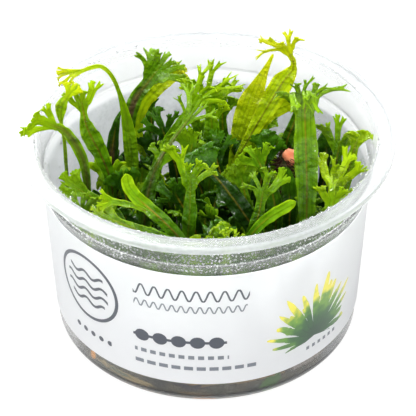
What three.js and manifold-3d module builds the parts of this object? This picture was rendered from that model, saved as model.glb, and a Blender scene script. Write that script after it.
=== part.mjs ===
// Lace java fern grown in tissue culture, standing in its clear cup with a printed label band.
// Millimetres, +Z up. The origin is the middle of the underside of the cup.

import * as THREE from 'three';
import { mergeVertices } from 'three/addons/utils/BufferGeometryUtils.js';
import Module from 'manifold-3d';

const wasm = await Module();
wasm.setup();

// Cup: radii of its outside, and heights above its underside.
const RIM_RADIUS = 50;
const RIM_HEIGHT = 59.5;
const MOUTH_RADIUS = 45.2;
const FLANGE_THICKNESS = 1.1;
const LIP_DROP = 1.7;
const LIP_WIDTH = 0.9;
const NECK_RADIUS = 44.1;
const BEAD_RADIUS = 44.9;
const BEAD_HEIGHT = 49.6;
const BEAD_HALF_WIDTH = 0.9;
const FOOT_ROUNDING = 3;
const WALL = 0.8;
const FLOOR = 1;
const CUP_SEGMENTS = 40;

// Label: a thin band round the tapered wall.
const LABEL_BOTTOM = 7.6;
const LABEL_TOP = 45.9;
const LABEL_BOTTOM_RADIUS = 41.9;
const LABEL_TOP_RADIUS = 43.65;
const LABEL_THICKNESS = 0.25;
const LABEL_CLEARANCE = 0.1;

// Roots: a matted cake on the cup's floor, and the creeping rhizomes that lie on it.
const CLEARANCE = 0.3;
const MAT_TOP = 7.4;
const MAT_LUMP = 0.5;
const MAT_SEGMENTS = 24;
const RHIZOME_RADIUS = 1.8;
const RHIZOME_LEVEL = MAT_TOP + MAT_LUMP + CLEARANCE + 1.15 * RHIZOME_RADIUS;
const RHIZOME_SIDES = 5;
const FOOT_LEVEL = RHIZOME_LEVEL + 1.15 * RHIZOME_RADIUS + CLEARANCE;

// Fronds: a blade has a flat upper face and a keel, the midrib, below it.
const BLADE_KEEL = 0.8;
const LOBE_KEEL = 0.55;
const FOOT_SHARE = 0.3;
const EXTRA_ROWS = 2;

// Crests: the palm's share of a crest's size, how much wider than the neck it flares, how many
// fingers it parts into, and how they spread, lift off its face and droop, in degrees.
const CRESTS = {
  fan: { palm: 0.5, flare: 2.8, fingers: 3, spread: 34, lift: 26, droop: 4 },
  hand: { palm: 0.42, flare: 2.6, fingers: 4, spread: 48, lift: 34, droop: 8 },
  antler: { palm: 0.34, flare: 2.4, fingers: 4, spread: 60, lift: 30, droop: 0 },
  lace: { palm: 0.26, flare: 2.2, fingers: 4, spread: 42, lift: 30, droop: 4 },
};
const ARCH = 0.2;
const EVEN_BEND = 0.25;
const FIRST_STRETCH = 0.62;
const BROADENING = 1.3;
const FORK_SPREAD = 20;
const FORK_TILT = 32;
const FORK_ROOM = 0.45;
const STRONG_BEND = 60;
const HEADING_AT = 0.35;
const LOBE_ROWS = 3;
const TIP_SHARE = 0.45;
const CROWDING = 0.9;

// How far a crest's parts vary: shares of their size, and degrees of their turn.
const VARIES = {
  stem: 0.12, width: 0.16, parting: 0.22, spread: 10, tip: 0.4, turn: 10, length: 0.28, share: 0.35,
};

// Where a frond's own numbers leave something out, these hold.
const PLAIN = {
  stalk: 0.1, peak: 0.55, neck: 0.45, neckAt: 1, turn: [0, 0], crest: null, fingers: [], lobes: [],
};

// A frond is given by the points of its midrib above its foot, its greatest width, where along
// it the stalk ends and that width lies, how much of the width is left at its neck, and how it
// faces: turned by so many degrees from the front, at its foot and at its tip. Its crest has a
// kind and a size, or a palm of its own with fingers from left to right: how far each turns, its
// length, how far it lifts, and its share of the palm's edge.
const FRONDS = {
  frond_left_arch: {
    foot: [-19, 11],
    points: [
      [-20.2, 12.5, 30], [-20.7, 13, 44], [-21.7, 12.5, 55], [-23.3, 11, 64.5], [-25.3, 10, 70.8],
      [-28.3, 9.8, 73.6], [-33.1, 9.4, 72.3],
    ],
    width: 3.9, peak: 0.28, neck: 0.28, neckAt: 0.6, turn: [-10, 20], palm: 2.4, flare: 2.4,
    fingers: [[58, 4.6, -26, 0.8], [30, 4, 14, 1], [6, 5, -20, 1.2], [-16, 3.4, 20, 1]],
    tone: 'yellow',
  },
  frond_left_fan: {
    foot: [-22, 4],
    points: [
      [-25, 5, 28], [-26.3, 5, 40.3], [-28.6, 5, 48.4], [-30.6, 5, 53.5], [-32.1, 5, 58.2],
      [-32.6, 5, 62.4],
    ],
    width: 5, peak: 0.68, neck: 0.36, turn: [10, -5], palm: 3, flare: 2.3,
    fingers: [[16, 4.6, 14, 0.8], [4, 5.2, -16, 0.9], [-8, 4.4, 16, 1], [-28, 7.2, -12, 1]],
    tone: 'bright',
  },
  frond_left_bow: {
    foot: [-26, -1],
    points: [
      [-33, -2, 24], [-36.7, -2, 33], [-37.4, -1.5, 47], [-37.6, -1, 57.4], [-38.2, -1, 64],
      [-37.8, -1, 68.6], [-36, -1, 71.6],
    ],
    width: 3.1, stalk: 0.68, peak: 0.84, neck: 0.45, turn: [20, 0], palm: 1.2, flare: 1.7,
    fingers: [[40, 2, 10, 1], [8, 2.4, -14, 1], [-26, 2.6, 16, 1]],
    tone: 'yellow',
  },
  frond_left_over: {
    foot: [-30, -6],
    points: [
      [-31, -6, 32], [-31.6, -6, 44], [-32.4, -6, 54.2], [-34.8, -6, 60.8], [-37.2, -6.4, 64.6],
      [-39.4, -7, 66.2],
    ],
    width: 2.8, peak: 0.6, neck: 0.75, turn: [10, -10], palm: 1.8, flare: 2.2,
    fingers: [[50, 5.4, -24, 1.2], [2, 6.2, 26, 2.2], [-38, 4.2, 20, 1]],
    tone: 'bright',
  },
  frond_left_low: {
    foot: [-19, -13],
    points: [[-20, -13, 28], [-23.5, -12, 39], [-28, -11, 44], [-32, -10, 46.5]],
    width: 4, peak: 0.6, neck: 0.55, palm: 2.6, flare: 2.2,
    fingers: [[30, 3.4, 20, 1], [6, 4, -16, 1], [-24, 3, 14, 1]],
    tone: 'mid',
  },
  frond_left_dark: {
    foot: [-24, 17],
    points: [[-27, 17, 28], [-26.5, 17.5, 38], [-25, 18, 48], [-23.5, 18.5, 53]],
    width: 3.4, peak: 0.55, neck: 0.25, turn: [10, 20],
    tone: 'dark',
  },
  frond_left_edge: {
    foot: [-27, -14],
    points: [[-30, -16, 28], [-31, -17, 38], [-32, -17.5, 44]],
    width: 3.6, turn: [-20, 0], crest: 'hand', size: 8,
    tone: 'mid',
  },
  frond_front_left_bright: {
    foot: [-2, -23],
    points: [
      [-2, -26, 28], [-3.5, -27, 38], [-7.4, -26.6, 45.1], [-10.9, -26, 49.4], [-14.6, -25, 53],
      [-17.9, -23.6, 55.6], [-19.9, -22.2, 58], [-20.6, -21.5, 61.2],
    ],
    width: 3.5, peak: 0.5, neck: 0.9, turn: [-10, 10],
    tone: 'bright',
    lobes: [
      { at: 0.6, side: -1, length: 14, width: 1.8, turn: 36 },
    ],
  },
  frond_front_left_low: {
    foot: [-10, -25],
    points: [
      [-8.5, -30, 30], [-7.5, -32, 42], [-10.5, -32, 47.5], [-16, -30.5, 49.5], [-22.5, -27.5, 50.5],
    ],
    width: 4.2, peak: 0.7, neck: 0.55, turn: [-10, 0], palm: 2.2, flare: 2,
    fingers: [[26, 4.2, 14, 1], [4, 5.4, -16, 1], [-28, 3.6, 18, 1]],
    tone: 'bright',
  },
  frond_front_left_inner: {
    foot: [-16, -20],
    points: [[-17.5, -22, 28], [-20, -23.5, 39], [-24, -24, 45]],
    width: 4, turn: [-10, 0], crest: 'hand', size: 7,
    tone: 'mid',
  },
  frond_front_peek_left: {
    foot: [-2, -30],
    points: [[-2.5, -33, 28], [-3.3, -34.5, 40], [-3.6, -34.5, 46]],
    width: 2.2, crest: 'fan', size: 2.8,
    tone: 'bright',
  },
  frond_front_centre: {
    foot: [-6, -17],
    points: [[-6, -18, 26], [-5, -18, 38], [-4.4, -17.8, 46.5], [-4.2, -17.2, 53]],
    width: 3.8, peak: 0.7, neck: 0.66, turn: [0, -20], palm: 3.4, flare: 1.9,
    fingers: [[14, 8.6, -12, 1.5], [-10, 5.6, 22, 1], [-32, 8, 8, 1.3], [-56, 7.4, -16, 1]],
    tone: 'bright',
  },
  frond_centre_low: {
    foot: [-2, -9],
    points: [[-2, -9, 26], [-4, -9, 36], [-7, -9.5, 43]],
    width: 4.5, turn: [25, 10], crest: 'hand', size: 7,
    tone: 'dark',
  },
  frond_centre_inner: {
    foot: [-6, 1],
    points: [[-6.5, 1, 26], [-6, 2, 38], [-4.5, 3, 48]],
    width: 4.5, turn: [-30, -10], crest: 'fan', size: 8,
    tone: 'mid',
  },
  frond_left_mid: {
    foot: [-17, -3],
    points: [[-17.5, -3.5, 26], [-17, -3, 37], [-14.5, -1.5, 45], [-12.5, -0.5, 49]],
    width: 4, turn: [30, 20], crest: 'antler', size: 6,
    tone: 'mid',
  },
  frond_left_cross: {
    foot: [-15, -11],
    points: [
      [-16.6, -10.5, 28], [-16.5, -10, 39], [-15, -9, 48.5], [-12.6, -8, 55.4], [-9, -6, 60.5],
      [-5.8, -5, 65],
    ],
    width: 4, peak: 0.42, neck: 0.3, neckAt: 0.7, turn: [10, 10], palm: 2.4, flare: 2.8,
    fingers: [[62, 7, 24, 0.8], [34, 8, -24, 1], [10, 9.5, 26, 1], [-14, 6, -28, 0.8], [-38, 6.5, 20, 1]],
    tone: 'mid',
  },
  frond_back_left_small: {
    foot: [-14, 28],
    points: [[-15, 30, 24], [-15.5, 30.5, 33], [-15.5, 30.5, 41]],
    width: 3.2, crest: 'fan', size: 6,
    tone: 'dark',
  },
  frond_back_left_tall: {
    foot: [-15, 20],
    points: [[-18.5, 20.5, 28], [-20.6, 21, 38], [-21.5, 21, 47], [-19.5, 22, 54.5], [-15.8, 22.5, 60]],
    width: 3.8, peak: 0.7, neck: 0.85, turn: [10, 0], palm: 5, flare: 2.5,
    fingers: [
      [84, 4, 24, 0.7], [40, 4, -24, 1], [22, 5, 18, 1], [4, 4, -18, 1.1], [-16, 5, 22, 1],
      [-38, 5, -20, 1], [-66, 4.4, 12, 1],
    ],
    tone: 'mid',
  },
  frond_back_left_pale: {
    foot: [-8, 23],
    points: [[-16, 25.5, 27], [-19, 26.5, 38], [-18, 27, 48], [-13.3, 27.5, 54.8], [-9, 28, 58.2]],
    width: 3.9, peak: 0.8, neck: 0.85, palm: 1.4, flare: 1.15,
    fingers: [[18, 1.4, 8, 1], [0, 1.7, -8, 1], [-16, 1.2, 8, 1]],
    tone: 'yellow',
  },
  frond_back_lobed: {
    foot: [2, 22],
    points: [[3.5, 24, 26], [4.5, 25, 37], [4.5, 25.5, 46]],
    width: 4.6, crest: 'fan', size: 8,
    tone: 'mid',
  },
  frond_centre_lace: {
    foot: [-12, 6],
    points: [[-15, 7, 26], [-14.5, 8, 38], [-11, 8, 49], [-7.5, 8, 56], [-4.5, 8, 61]],
    width: 3, peak: 0.5, neck: 0.6, palm: 4, flare: 2.6,
    fingers: [[44, 7, 24, 0.9], [18, 10, -22, 1], [-6, 9, 28, 1], [-28, 11, -16, 1.1], [-54, 8, 22, 0.9]],
    tone: 'bright',
  },
  frond_centre_dark: {
    foot: [-7, 13],
    points: [[-7.5, 13.5, 26], [-8.5, 14, 37], [-11, 14.5, 46]],
    width: 4.2, turn: [-20, 0], palm: 3, flare: 2.2,
    fingers: [[46, 5, 12, 1.2], [12, 5.5, -14, 1.2], [-34, 5, 10, 1]],
    tone: 'dark',
  },
  frond_centre_lobed: {
    foot: [0, 12],
    points: [[0.4, 13, 26.4], [1.3, 14, 40], [1.5, 15, 50], [1, 15, 56]],
    width: 4.8, peak: 0.6, neck: 0.5, palm: 4, flare: 2.6,
    fingers: [
      [38, 7, -24, 0.9], [8, 9, 22, 1.1], [-20, 10.5, -20, 1.1], [-44, 9.5, 26, 1], [-72, 7, -12, 0.9],
    ],
    tone: 'bright',
    lobes: [
      { at: 0.8, side: 1, length: 6.5, width: 1.9, turn: 35 },
    ],
  },
  frond_tall_lance: {
    foot: [7, 15],
    points: [
      [7, 17, 27], [8.2, 17.5, 38.4], [10, 18.2, 47], [12, 19, 54.2], [14.4, 20, 61], [18, 21, 69.6],
    ],
    width: 7, peak: 0.66, neck: 0.12, turn: [0, -8],
    tone: 'yellow',
  },
  frond_tall_crested: {
    foot: [6, 8],
    points: [
      [5.5, 9.5, 26], [7.4, 10.5, 39], [11, 11.5, 47.5], [14.6, 12.5, 54.5], [17.8, 13, 60.7],
      [20.6, 13.5, 66], [22.9, 13.5, 69.6], [23.2, 13, 72.6], [22.2, 12.5, 75],
    ],
    width: 5.8, stalk: 0.2, peak: 0.64, neck: 0.26, neckAt: 0.86, turn: [0, -8], palm: 2.6, flare: 3.2,
    fingers: [[66, 6.4, 22, 0.8], [40, 6, -20, 1], [10, 4.4, 26, 1], [-18, 4.6, -24, 1], [-46, 4.4, 18, 1]],
    tone: 'yellow',
  },
  frond_centre_right_dark: {
    foot: [5, 1],
    points: [[5.5, 2, 26], [5, 3, 37], [3, 4, 46]],
    width: 4.6, turn: [20, 0], crest: 'hand', size: 8,
    tone: 'dark',
  },
  frond_centre_right_small: {
    foot: [11, -5],
    points: [[11.5, -4.5, 25], [11.5, -3.5, 34], [10, -2.5, 42]],
    width: 4.2, turn: [-20, 0], crest: 'fan', size: 7,
    tone: 'mid',
  },
  frond_right_inner: {
    foot: [13, 3],
    points: [[13.5, 4, 26], [14.5, 5, 36], [16, 6, 45]],
    width: 4.4, turn: [-20, 0], crest: 'fan', size: 7,
    tone: 'dark',
  },
  frond_side_blade: {
    foot: [14, 15],
    points: [[13.5, 17, 27], [13.4, 17, 39], [14.2, 17, 47.5], [16.8, 17, 53.2], [21.6, 16.5, 56.2]],
    width: 4.6, peak: 0.8, neck: 0.85, palm: 1.4, flare: 1.15,
    fingers: [[20, 1.6, 8, 1], [0, 2, -8, 1], [-20, 1.5, 8, 1]],
    tone: 'yellow',
  },
  frond_back_right_stem: {
    foot: [19, 12],
    points: [[20.5, 13, 26], [21, 13, 37], [22, 12.5, 47], [24, 11.5, 55], [24.5, 10.5, 60]],
    width: 3.2, peak: 0.6, neck: 0.55, crest: 'lace', size: 8,
    tone: 'mid',
  },
  frond_right_tall: {
    foot: [26, -13],
    points: [[26.5, -14, 27], [26.5, -12.5, 38], [26.4, -10, 49], [26, -7, 59], [25.6, -4.6, 68.5]],
    width: 6.2, peak: 0.78, neck: 0.8, palm: 4, flare: 1.5,
    fingers: [
      [64, 7.5, 50, 0.9], [32, 8.5, 135, 1.1], [14, 7, 60, 1], [-2, 8.5, 145, 1], [-18, 7, 110, 1],
      [-34, 8, 140, 1], [-52, 6.5, 30, 0.9], [-84, 9.5, 14, 0.8],
    ],
    tone: 'mid',
  },
  frond_right_round: {
    foot: [23, -3],
    points: [[22.5, -2.5, 25], [22.5, -0.5, 36], [21.5, 1.5, 46]],
    width: 4.6, peak: 0.7, neck: 0.7, turn: [10, 10],
    tone: 'dark',
  },
  frond_right_bush: {
    foot: [30, 3],
    points: [[33.5, 5, 26], [34.8, 5.6, 37], [35, 5.8, 43.5], [35.5, 6, 47.5]],
    width: 4.2, neck: 0.6, palm: 3, flare: 2.2,
    fingers: [[26, 8, 18, 1], [2, 7.5, -20, 1], [-24, 7, 24, 1.2], [-52, 3.6, -10, 0.9]],
    tone: 'mid',
  },
  frond_right_edge: {
    foot: [32, -2],
    points: [[35.5, -1, 27], [37.3, 0.6, 38], [38.4, 1.4, 46.4], [39.6, 1.6, 53]],
    width: 3, peak: 0.8, neck: 0.7, turn: [-25, -10], palm: 1.8, flare: 1.6,
    fingers: [[18, 2.6, 20, 1], [-18, 2.8, -20, 1]],
    tone: 'bright',
  },
  frond_right_dark: {
    foot: [28, 12],
    points: [[31, 13, 26], [33, 12, 37], [32.6, 11, 46.5], [31.8, 11, 51]],
    width: 4.6, peak: 0.75, neck: 0.75,
    tone: 'dark',
  },
  frond_back_right_small: {
    foot: [23, 19],
    points: [[24.5, 22, 24], [25, 24, 33], [25, 25, 40]],
    width: 4, peak: 0.7, neck: 0.5,
    tone: 'dark',
  },
  frond_back_right_low: {
    foot: [13, 25],
    points: [[13.5, 27, 24], [14, 28, 32], [15, 28.5, 38]],
    width: 4, crest: 'hand', size: 6,
    tone: 'mid',
  },
  frond_right_wavy: {
    foot: [30, -9],
    points: [[32.2, -10, 27], [33, -10, 38], [33.4, -9.6, 43], [33.8, -9.4, 47]],
    width: 4.2, neck: 0.7, palm: 2.8, flare: 2.1,
    fingers: [[24, 6.2, -30, 1.1], [-6, 7.6, 34, 1], [-22, 7.8, -26, 1], [-36, 7.4, 32, 1.1]],
    tone: 'bright',
  },
  frond_right_fan: {
    foot: [25, -21],
    points: [[28, -20.5, 27], [30.5, -19.8, 37], [32, -18.8, 43.4], [32.6, -18.2, 47]],
    width: 4, peak: 0.6, neck: 0.6, palm: 2.6, flare: 2,
    fingers: [[34, 5, 26, 1], [6, 5.4, -26, 1], [-22, 4.6, 28, 1], [-50, 4.4, -10, 1]],
    tone: 'bright',
  },
  frond_front_right_inner: {
    foot: [17, -27],
    points: [[18.5, -28, 26], [19.5, -29, 35], [20, -29.5, 41]],
    width: 4.2, crest: 'hand', size: 6,
    tone: 'dark',
  },
  frond_front_peek_right: {
    foot: [6, -31],
    points: [[5.5, -33, 27], [5, -34, 40], [5, -34, 47]],
    width: 2.6, neck: 0.6, palm: 1.6, flare: 1.9,
    fingers: [[28, 2.4, 10, 1], [2, 4.4, -8, 1.2], [-34, 4, 10, 1]],
    tone: 'bright',
  },
  frond_front_right_wide: {
    foot: [10, -24],
    points: [
      [8.5, -24.5, 28], [9, -24.5, 38], [12, -24.3, 44.4], [15.6, -23.5, 48.4], [19.4, -22.4, 50.6],
      [22.8, -21.2, 52],
    ],
    width: 3, peak: 0.78, neck: 0.9, turn: [-20, 0],
    tone: 'bright',
  },
  frond_front_right_crest: {
    foot: [11, -16],
    points: [[11, -17, 26], [12, -17.4, 36], [13.4, -17.2, 43.6], [14.2, -17, 49]],
    width: 4, neck: 0.6, turn: [-10, 0], palm: 3, flare: 1.8,
    fingers: [[84, 4.6, 26, 0.8], [42, 5, -16, 1], [-2, 8, 24, 1.3], [-40, 6.6, -20, 1.2]],
    tone: 'mid',
  },
  frond_front_cross: {
    foot: [17, -12],
    points: [[15.5, -12, 26], [13, -12, 35], [9, -11, 42], [5, -10, 48], [1.5, -9, 52.5]],
    width: 5.4, peak: 0.6, neck: 0.45, turn: [-10, 0], crest: 'fan', size: 5,
    tone: 'dark',
  },
  frond_right_cross: {
    foot: [18, -6],
    points: [[18.5, -6.5, 26], [18.5, -6, 37], [17, -5, 45], [14.5, -4.5, 51]],
    width: 4.2, turn: [10, 0], crest: 'hand', size: 6,
    tone: 'mid',
  },
};

// Each rhizome creeps under the feet of the fronds that grow from it, in this order.
const RHIZOMES = {
  rhizome_left: [
    'frond_left_edge', 'frond_left_over', 'frond_left_bow', 'frond_left_fan', 'frond_left_arch',
    'frond_left_dark',
  ],
  rhizome_front_left: [
    'frond_front_left_low', 'frond_front_left_inner', 'frond_left_low', 'frond_left_cross', 'frond_left_mid',
  ],
  rhizome_front: [
    'frond_front_peek_left', 'frond_front_left_bright', 'frond_front_centre', 'frond_centre_low',
    'frond_centre_inner',
  ],
  rhizome_centre: [
    'frond_centre_lace', 'frond_centre_dark', 'frond_centre_lobed', 'frond_tall_crested',
    'frond_centre_right_dark', 'frond_centre_right_small', 'frond_right_inner',
  ],
  rhizome_back: [
    'frond_back_left_small', 'frond_back_left_tall', 'frond_back_left_pale', 'frond_back_lobed',
    'frond_tall_lance', 'frond_side_blade', 'frond_back_right_stem',
  ],
  rhizome_right: [
    'frond_front_right_inner', 'frond_right_fan', 'frond_right_tall', 'frond_right_wavy', 'frond_right_edge',
    'frond_right_bush', 'frond_right_dark', 'frond_back_right_small', 'frond_back_right_low',
  ],
  rhizome_front_right: [
    'frond_front_peek_right', 'frond_front_right_wide', 'frond_front_right_crest', 'frond_front_cross',
    'frond_right_cross', 'frond_right_round',
  ],
};

// One old rhizome stands up among the fronds, with its cut end at the top.
const STUB = [[18, 5.5, 12], [19.5, 6.5, 25], [20.8, 7.5, 37], [21.6, 8, 46]];
const STUB_RINGS = 7;

const FINISHES = {
  cup: { color: 0xf2f6f8, roughness: 0.12, metalness: 0 },
  label: { color: 0xf4f5f6, roughness: 0.5, metalness: 0 },
  roots: { color: 0x4d3a1c, roughness: 0.8, metalness: 0 },
  rhizome: { color: 0x3d4a1e, roughness: 0.6, metalness: 0 },
  yellow: { color: 0xb4cc20, roughness: 0.35, metalness: 0 },
  bright: { color: 0x7db61f, roughness: 0.35, metalness: 0 },
  mid: { color: 0x4f8f1c, roughness: 0.35, metalness: 0 },
  dark: { color: 0x2c5a14, roughness: 0.4, metalness: 0 },
};

const plant = new THREE.Group();

function addPiece(name, geometry, finish) {
  const material = new THREE.MeshStandardMaterial(FINISHES[finish]);
  const piece = new THREE.Mesh(geometry, material);
  piece.name = name;
  plant.add(piece);
}

// A number from -1 to 1 that is always the same for the same seed.
function wobble(seed) {
  const wave = Math.sin(seed * 12.9898) * 43758.5453;
  return 2 * (wave - Math.floor(wave)) - 1;
}

function smooth(share) {
  const x = Math.min(Math.max(share, 0), 1);
  return x * x * (3 - 2 * x);
}

function mix(a, b, share) {
  return a + (b - a) * share;
}

// Turns a closed outline of [radius, height] points round the Z axis.
function turned(outline, segments) {
  const points = outline.map(([radius, height]) => new THREE.Vector2(radius, height));
  const geometry = new THREE.LatheGeometry(points, segments);
  geometry.rotateX(Math.PI / 2);
  geometry.deleteAttribute('normal');
  geometry.deleteAttribute('uv');
  return mergeVertices(geometry);
}

function toSolid(geometry) {
  return new wasm.Manifold(new wasm.Mesh({
    numProp: 3,
    vertProperties: new Float32Array(geometry.attributes.position.array),
    triVerts: new Uint32Array(geometry.index.array),
  }));
}

// Lobes that cross can shut in a small hollow: the outer body alone is kept.
function toGeometry(solid) {
  const bodies = solid.decompose().sort((a, b) => b.volume() - a.volume());
  const mesh = bodies[0].getMesh();
  const geometry = new THREE.BufferGeometry();
  geometry.setAttribute('position', new THREE.BufferAttribute(mesh.vertProperties, 3));
  geometry.setIndex(new THREE.BufferAttribute(mesh.triVerts, 1));
  return geometry;
}

// Radius of the outside of the tapered wall, which the label follows.
function wallRadius(height) {
  const share = (height - LABEL_BOTTOM) / (LABEL_TOP - LABEL_BOTTOM);
  return mix(LABEL_BOTTOM_RADIUS, LABEL_TOP_RADIUS, share) - LABEL_CLEARANCE;
}

// The cup: floor, rounded foot, tapered wall, a bead round the neck, and a flat flange with a lip.
function cup() {
  const flangeUnder = RIM_HEIGHT - FLANGE_THICKNESS;
  const foot = wallRadius(FOOT_ROUNDING);
  const floorRounding = FOOT_ROUNDING - FLOOR;
  const outline = [
    [0, 0],
    [foot - FOOT_ROUNDING, 0],
    [foot - 0.29 * FOOT_ROUNDING, 0.29 * FOOT_ROUNDING],
    [foot, FOOT_ROUNDING],
    [wallRadius(LABEL_TOP), LABEL_TOP],
    [NECK_RADIUS, BEAD_HEIGHT - BEAD_HALF_WIDTH],
    [BEAD_RADIUS, BEAD_HEIGHT],
    [NECK_RADIUS, BEAD_HEIGHT + BEAD_HALF_WIDTH],
    [MOUTH_RADIUS + 0.1, flangeUnder],
    [RIM_RADIUS - LIP_WIDTH, flangeUnder],
    [RIM_RADIUS - LIP_WIDTH, RIM_HEIGHT - LIP_DROP],
    [RIM_RADIUS, RIM_HEIGHT - LIP_DROP],
    [RIM_RADIUS, RIM_HEIGHT - 0.3],
    [RIM_RADIUS - 0.4, RIM_HEIGHT],
    [MOUTH_RADIUS, RIM_HEIGHT],
    [MOUTH_RADIUS - WALL + 0.1, flangeUnder],
    [NECK_RADIUS - WALL, BEAD_HEIGHT + BEAD_HALF_WIDTH],
    [BEAD_RADIUS - WALL, BEAD_HEIGHT],
    [NECK_RADIUS - WALL, BEAD_HEIGHT - BEAD_HALF_WIDTH],
    [wallRadius(LABEL_TOP) - WALL, LABEL_TOP],
    [foot - WALL, FOOT_ROUNDING],
    [foot - WALL - 0.3 * floorRounding, FLOOR + 0.3 * floorRounding],
    [foot - WALL - floorRounding, FLOOR],
    [0, FLOOR],
  ];
  addPiece('cup', toGeometry(toSolid(turned(outline, CUP_SEGMENTS))), 'cup');
}

function label() {
  const outline = [
    [LABEL_BOTTOM_RADIUS, LABEL_BOTTOM],
    [LABEL_BOTTOM_RADIUS + LABEL_THICKNESS, LABEL_BOTTOM],
    [LABEL_TOP_RADIUS + LABEL_THICKNESS, LABEL_TOP],
    [LABEL_TOP_RADIUS, LABEL_TOP],
    [LABEL_BOTTOM_RADIUS, LABEL_BOTTOM],
  ];
  addPiece('label', turned(outline, CUP_SEGMENTS), 'label');
}

// The root cake: a low round of roots, its top and edge lumpy, that fills the foot of the cup.
function rootMat() {
  const bottom = FLOOR + CLEARANCE;
  const edge = wallRadius(FLOOR) - WALL - CLEARANCE;
  const outline = [
    [0, bottom],
    [edge - 2.4, bottom],
    [edge - 0.7, bottom + 2],
    [edge - 0.7, MAT_TOP - 2.2],
    [edge - 3, MAT_TOP],
    [0.68 * edge, MAT_TOP],
    [0.36 * edge, MAT_TOP],
    [0, MAT_TOP],
  ];
  const geometry = turned(outline, MAT_SEGMENTS);
  const position = geometry.attributes.position;
  for (let i = 0; i < position.count; i += 1) {
    const [x, y, z] = [position.getX(i), position.getY(i), position.getZ(i)];
    const swell = 0.5 * MAT_LUMP * (Math.sin(0.45 * x + 1.3) + Math.cos(0.5 * y - 0.4 * x));
    const pinch = 1 - 0.012 * (1 + Math.sin(7 * Math.atan2(y, x)));
    const rises = z > bottom + 0.1 ? swell : 0;
    position.setXYZ(i, x * pinch, y * pinch, z + rises);
  }
  addPiece('root_mat', toGeometry(toSolid(geometry)), 'roots');
}

// A closed tube with few sides along a path, its radius lumpy and its ends drawn in.
function rhizome(name, path, count, seed) {
  const up = new THREE.Vector3(0, 0, 1);
  const front = new THREE.Vector3(0, -1, 0);
  const positions = [];
  const faces = [];
  for (let i = 0; i <= count; i += 1) {
    const share = i / count;
    const centre = path.getPoint(share);
    const forward = path.getTangent(share);
    const level = Math.abs(forward.z) < 0.7 ? up : front;
    const side = forward.clone().cross(level).normalize();
    const over = side.clone().cross(forward);
    const drawnIn = 1 - 0.45 * Math.abs(2 * share - 1) ** 6;
    const radius = RHIZOME_RADIUS * drawnIn * (1 + 0.14 * wobble(seed + i));
    for (let k = 0; k < RHIZOME_SIDES; k += 1) {
      const angle = (2 * Math.PI * k) / RHIZOME_SIDES;
      const corner = centre.clone()
        .addScaledVector(side, -radius * Math.cos(angle))
        .addScaledVector(over, radius * Math.sin(angle));
      positions.push(corner.x, corner.y, corner.z);
    }
  }
  closeRings(faces, count + 1, RHIZOME_SIDES);
  addPiece(name, indexed(positions, faces), 'rhizome');
}

function creepingRhizome(name, seed) {
  const feet = RHIZOMES[name].map((frond) => FRONDS[frond].foot);
  const points = feet.map(([x, y]) => new THREE.Vector3(x, y, RHIZOME_LEVEL));
  rhizome(name, new THREE.CatmullRomCurve3(points, false, 'catmullrom', 0.5), 2 * (feet.length - 1), seed);
}

function indexed(positions, faces) {
  const geometry = new THREE.BufferGeometry();
  geometry.setAttribute('position', new THREE.BufferAttribute(new Float32Array(positions), 3));
  geometry.setIndex(new THREE.BufferAttribute(new Uint32Array(faces), 1));
  return geometry;
}

// Joins rings of corners, listed one ring after the other, into a closed tube.
function closeRings(faces, rings, sides) {
  for (let i = 0; i + 1 < rings; i += 1) {
    for (let k = 0; k < sides; k += 1) {
      const next = (k + 1) % sides;
      const [a, b] = [i * sides + k, i * sides + next];
      const [c, d] = [b + sides, a + sides];
      faces.push(a, b, c, a, c, d);
    }
  }
  const last = (rings - 1) * sides;
  for (let k = 1; k + 1 < sides; k += 1) {
    faces.push(0, k + 1, k);
    faces.push(last, last + k, last + k + 1);
  }
}

// One place on a growing leaf: where it is, which way it grows, and which way its face looks.
class Shoot {
  constructor(centre, forward, face) {
    this.centre = centre;
    this.forward = forward.clone().normalize();
    this.face = face.clone().addScaledVector(this.forward, -face.dot(this.forward)).normalize();
    this.side = this.forward.clone().cross(this.face);
  }

  // Grows on by a length, turning in its own plane and lifting off it, in radians.
  grown(length, turn, lift) {
    const forward = this.forward.clone().applyAxisAngle(this.face, turn).applyAxisAngle(this.side, lift);
    const face = this.face.clone().applyAxisAngle(this.side, lift);
    const centre = this.centre.clone().addScaledVector(forward, length);
    return new Shoot(centre, forward, face);
  }

  moved(along, aside) {
    const centre = this.centre.clone().addScaledVector(this.forward, along).addScaledVector(this.side, aside);
    return new Shoot(centre, this.forward, this.face);
  }

  // A shoot square to the edge from left to right, and how far it is turned from this one.
  across(left, right) {
    const forward = this.face.clone().cross(right.clone().sub(left)).normalize();
    const swing = this.forward.clone().cross(forward).dot(this.face);
    const turned = Math.atan2(swing, this.forward.dot(forward));
    return { begun: new Shoot(left.clone().lerp(right, 0.5), forward, this.face), turned };
  }
}

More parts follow.
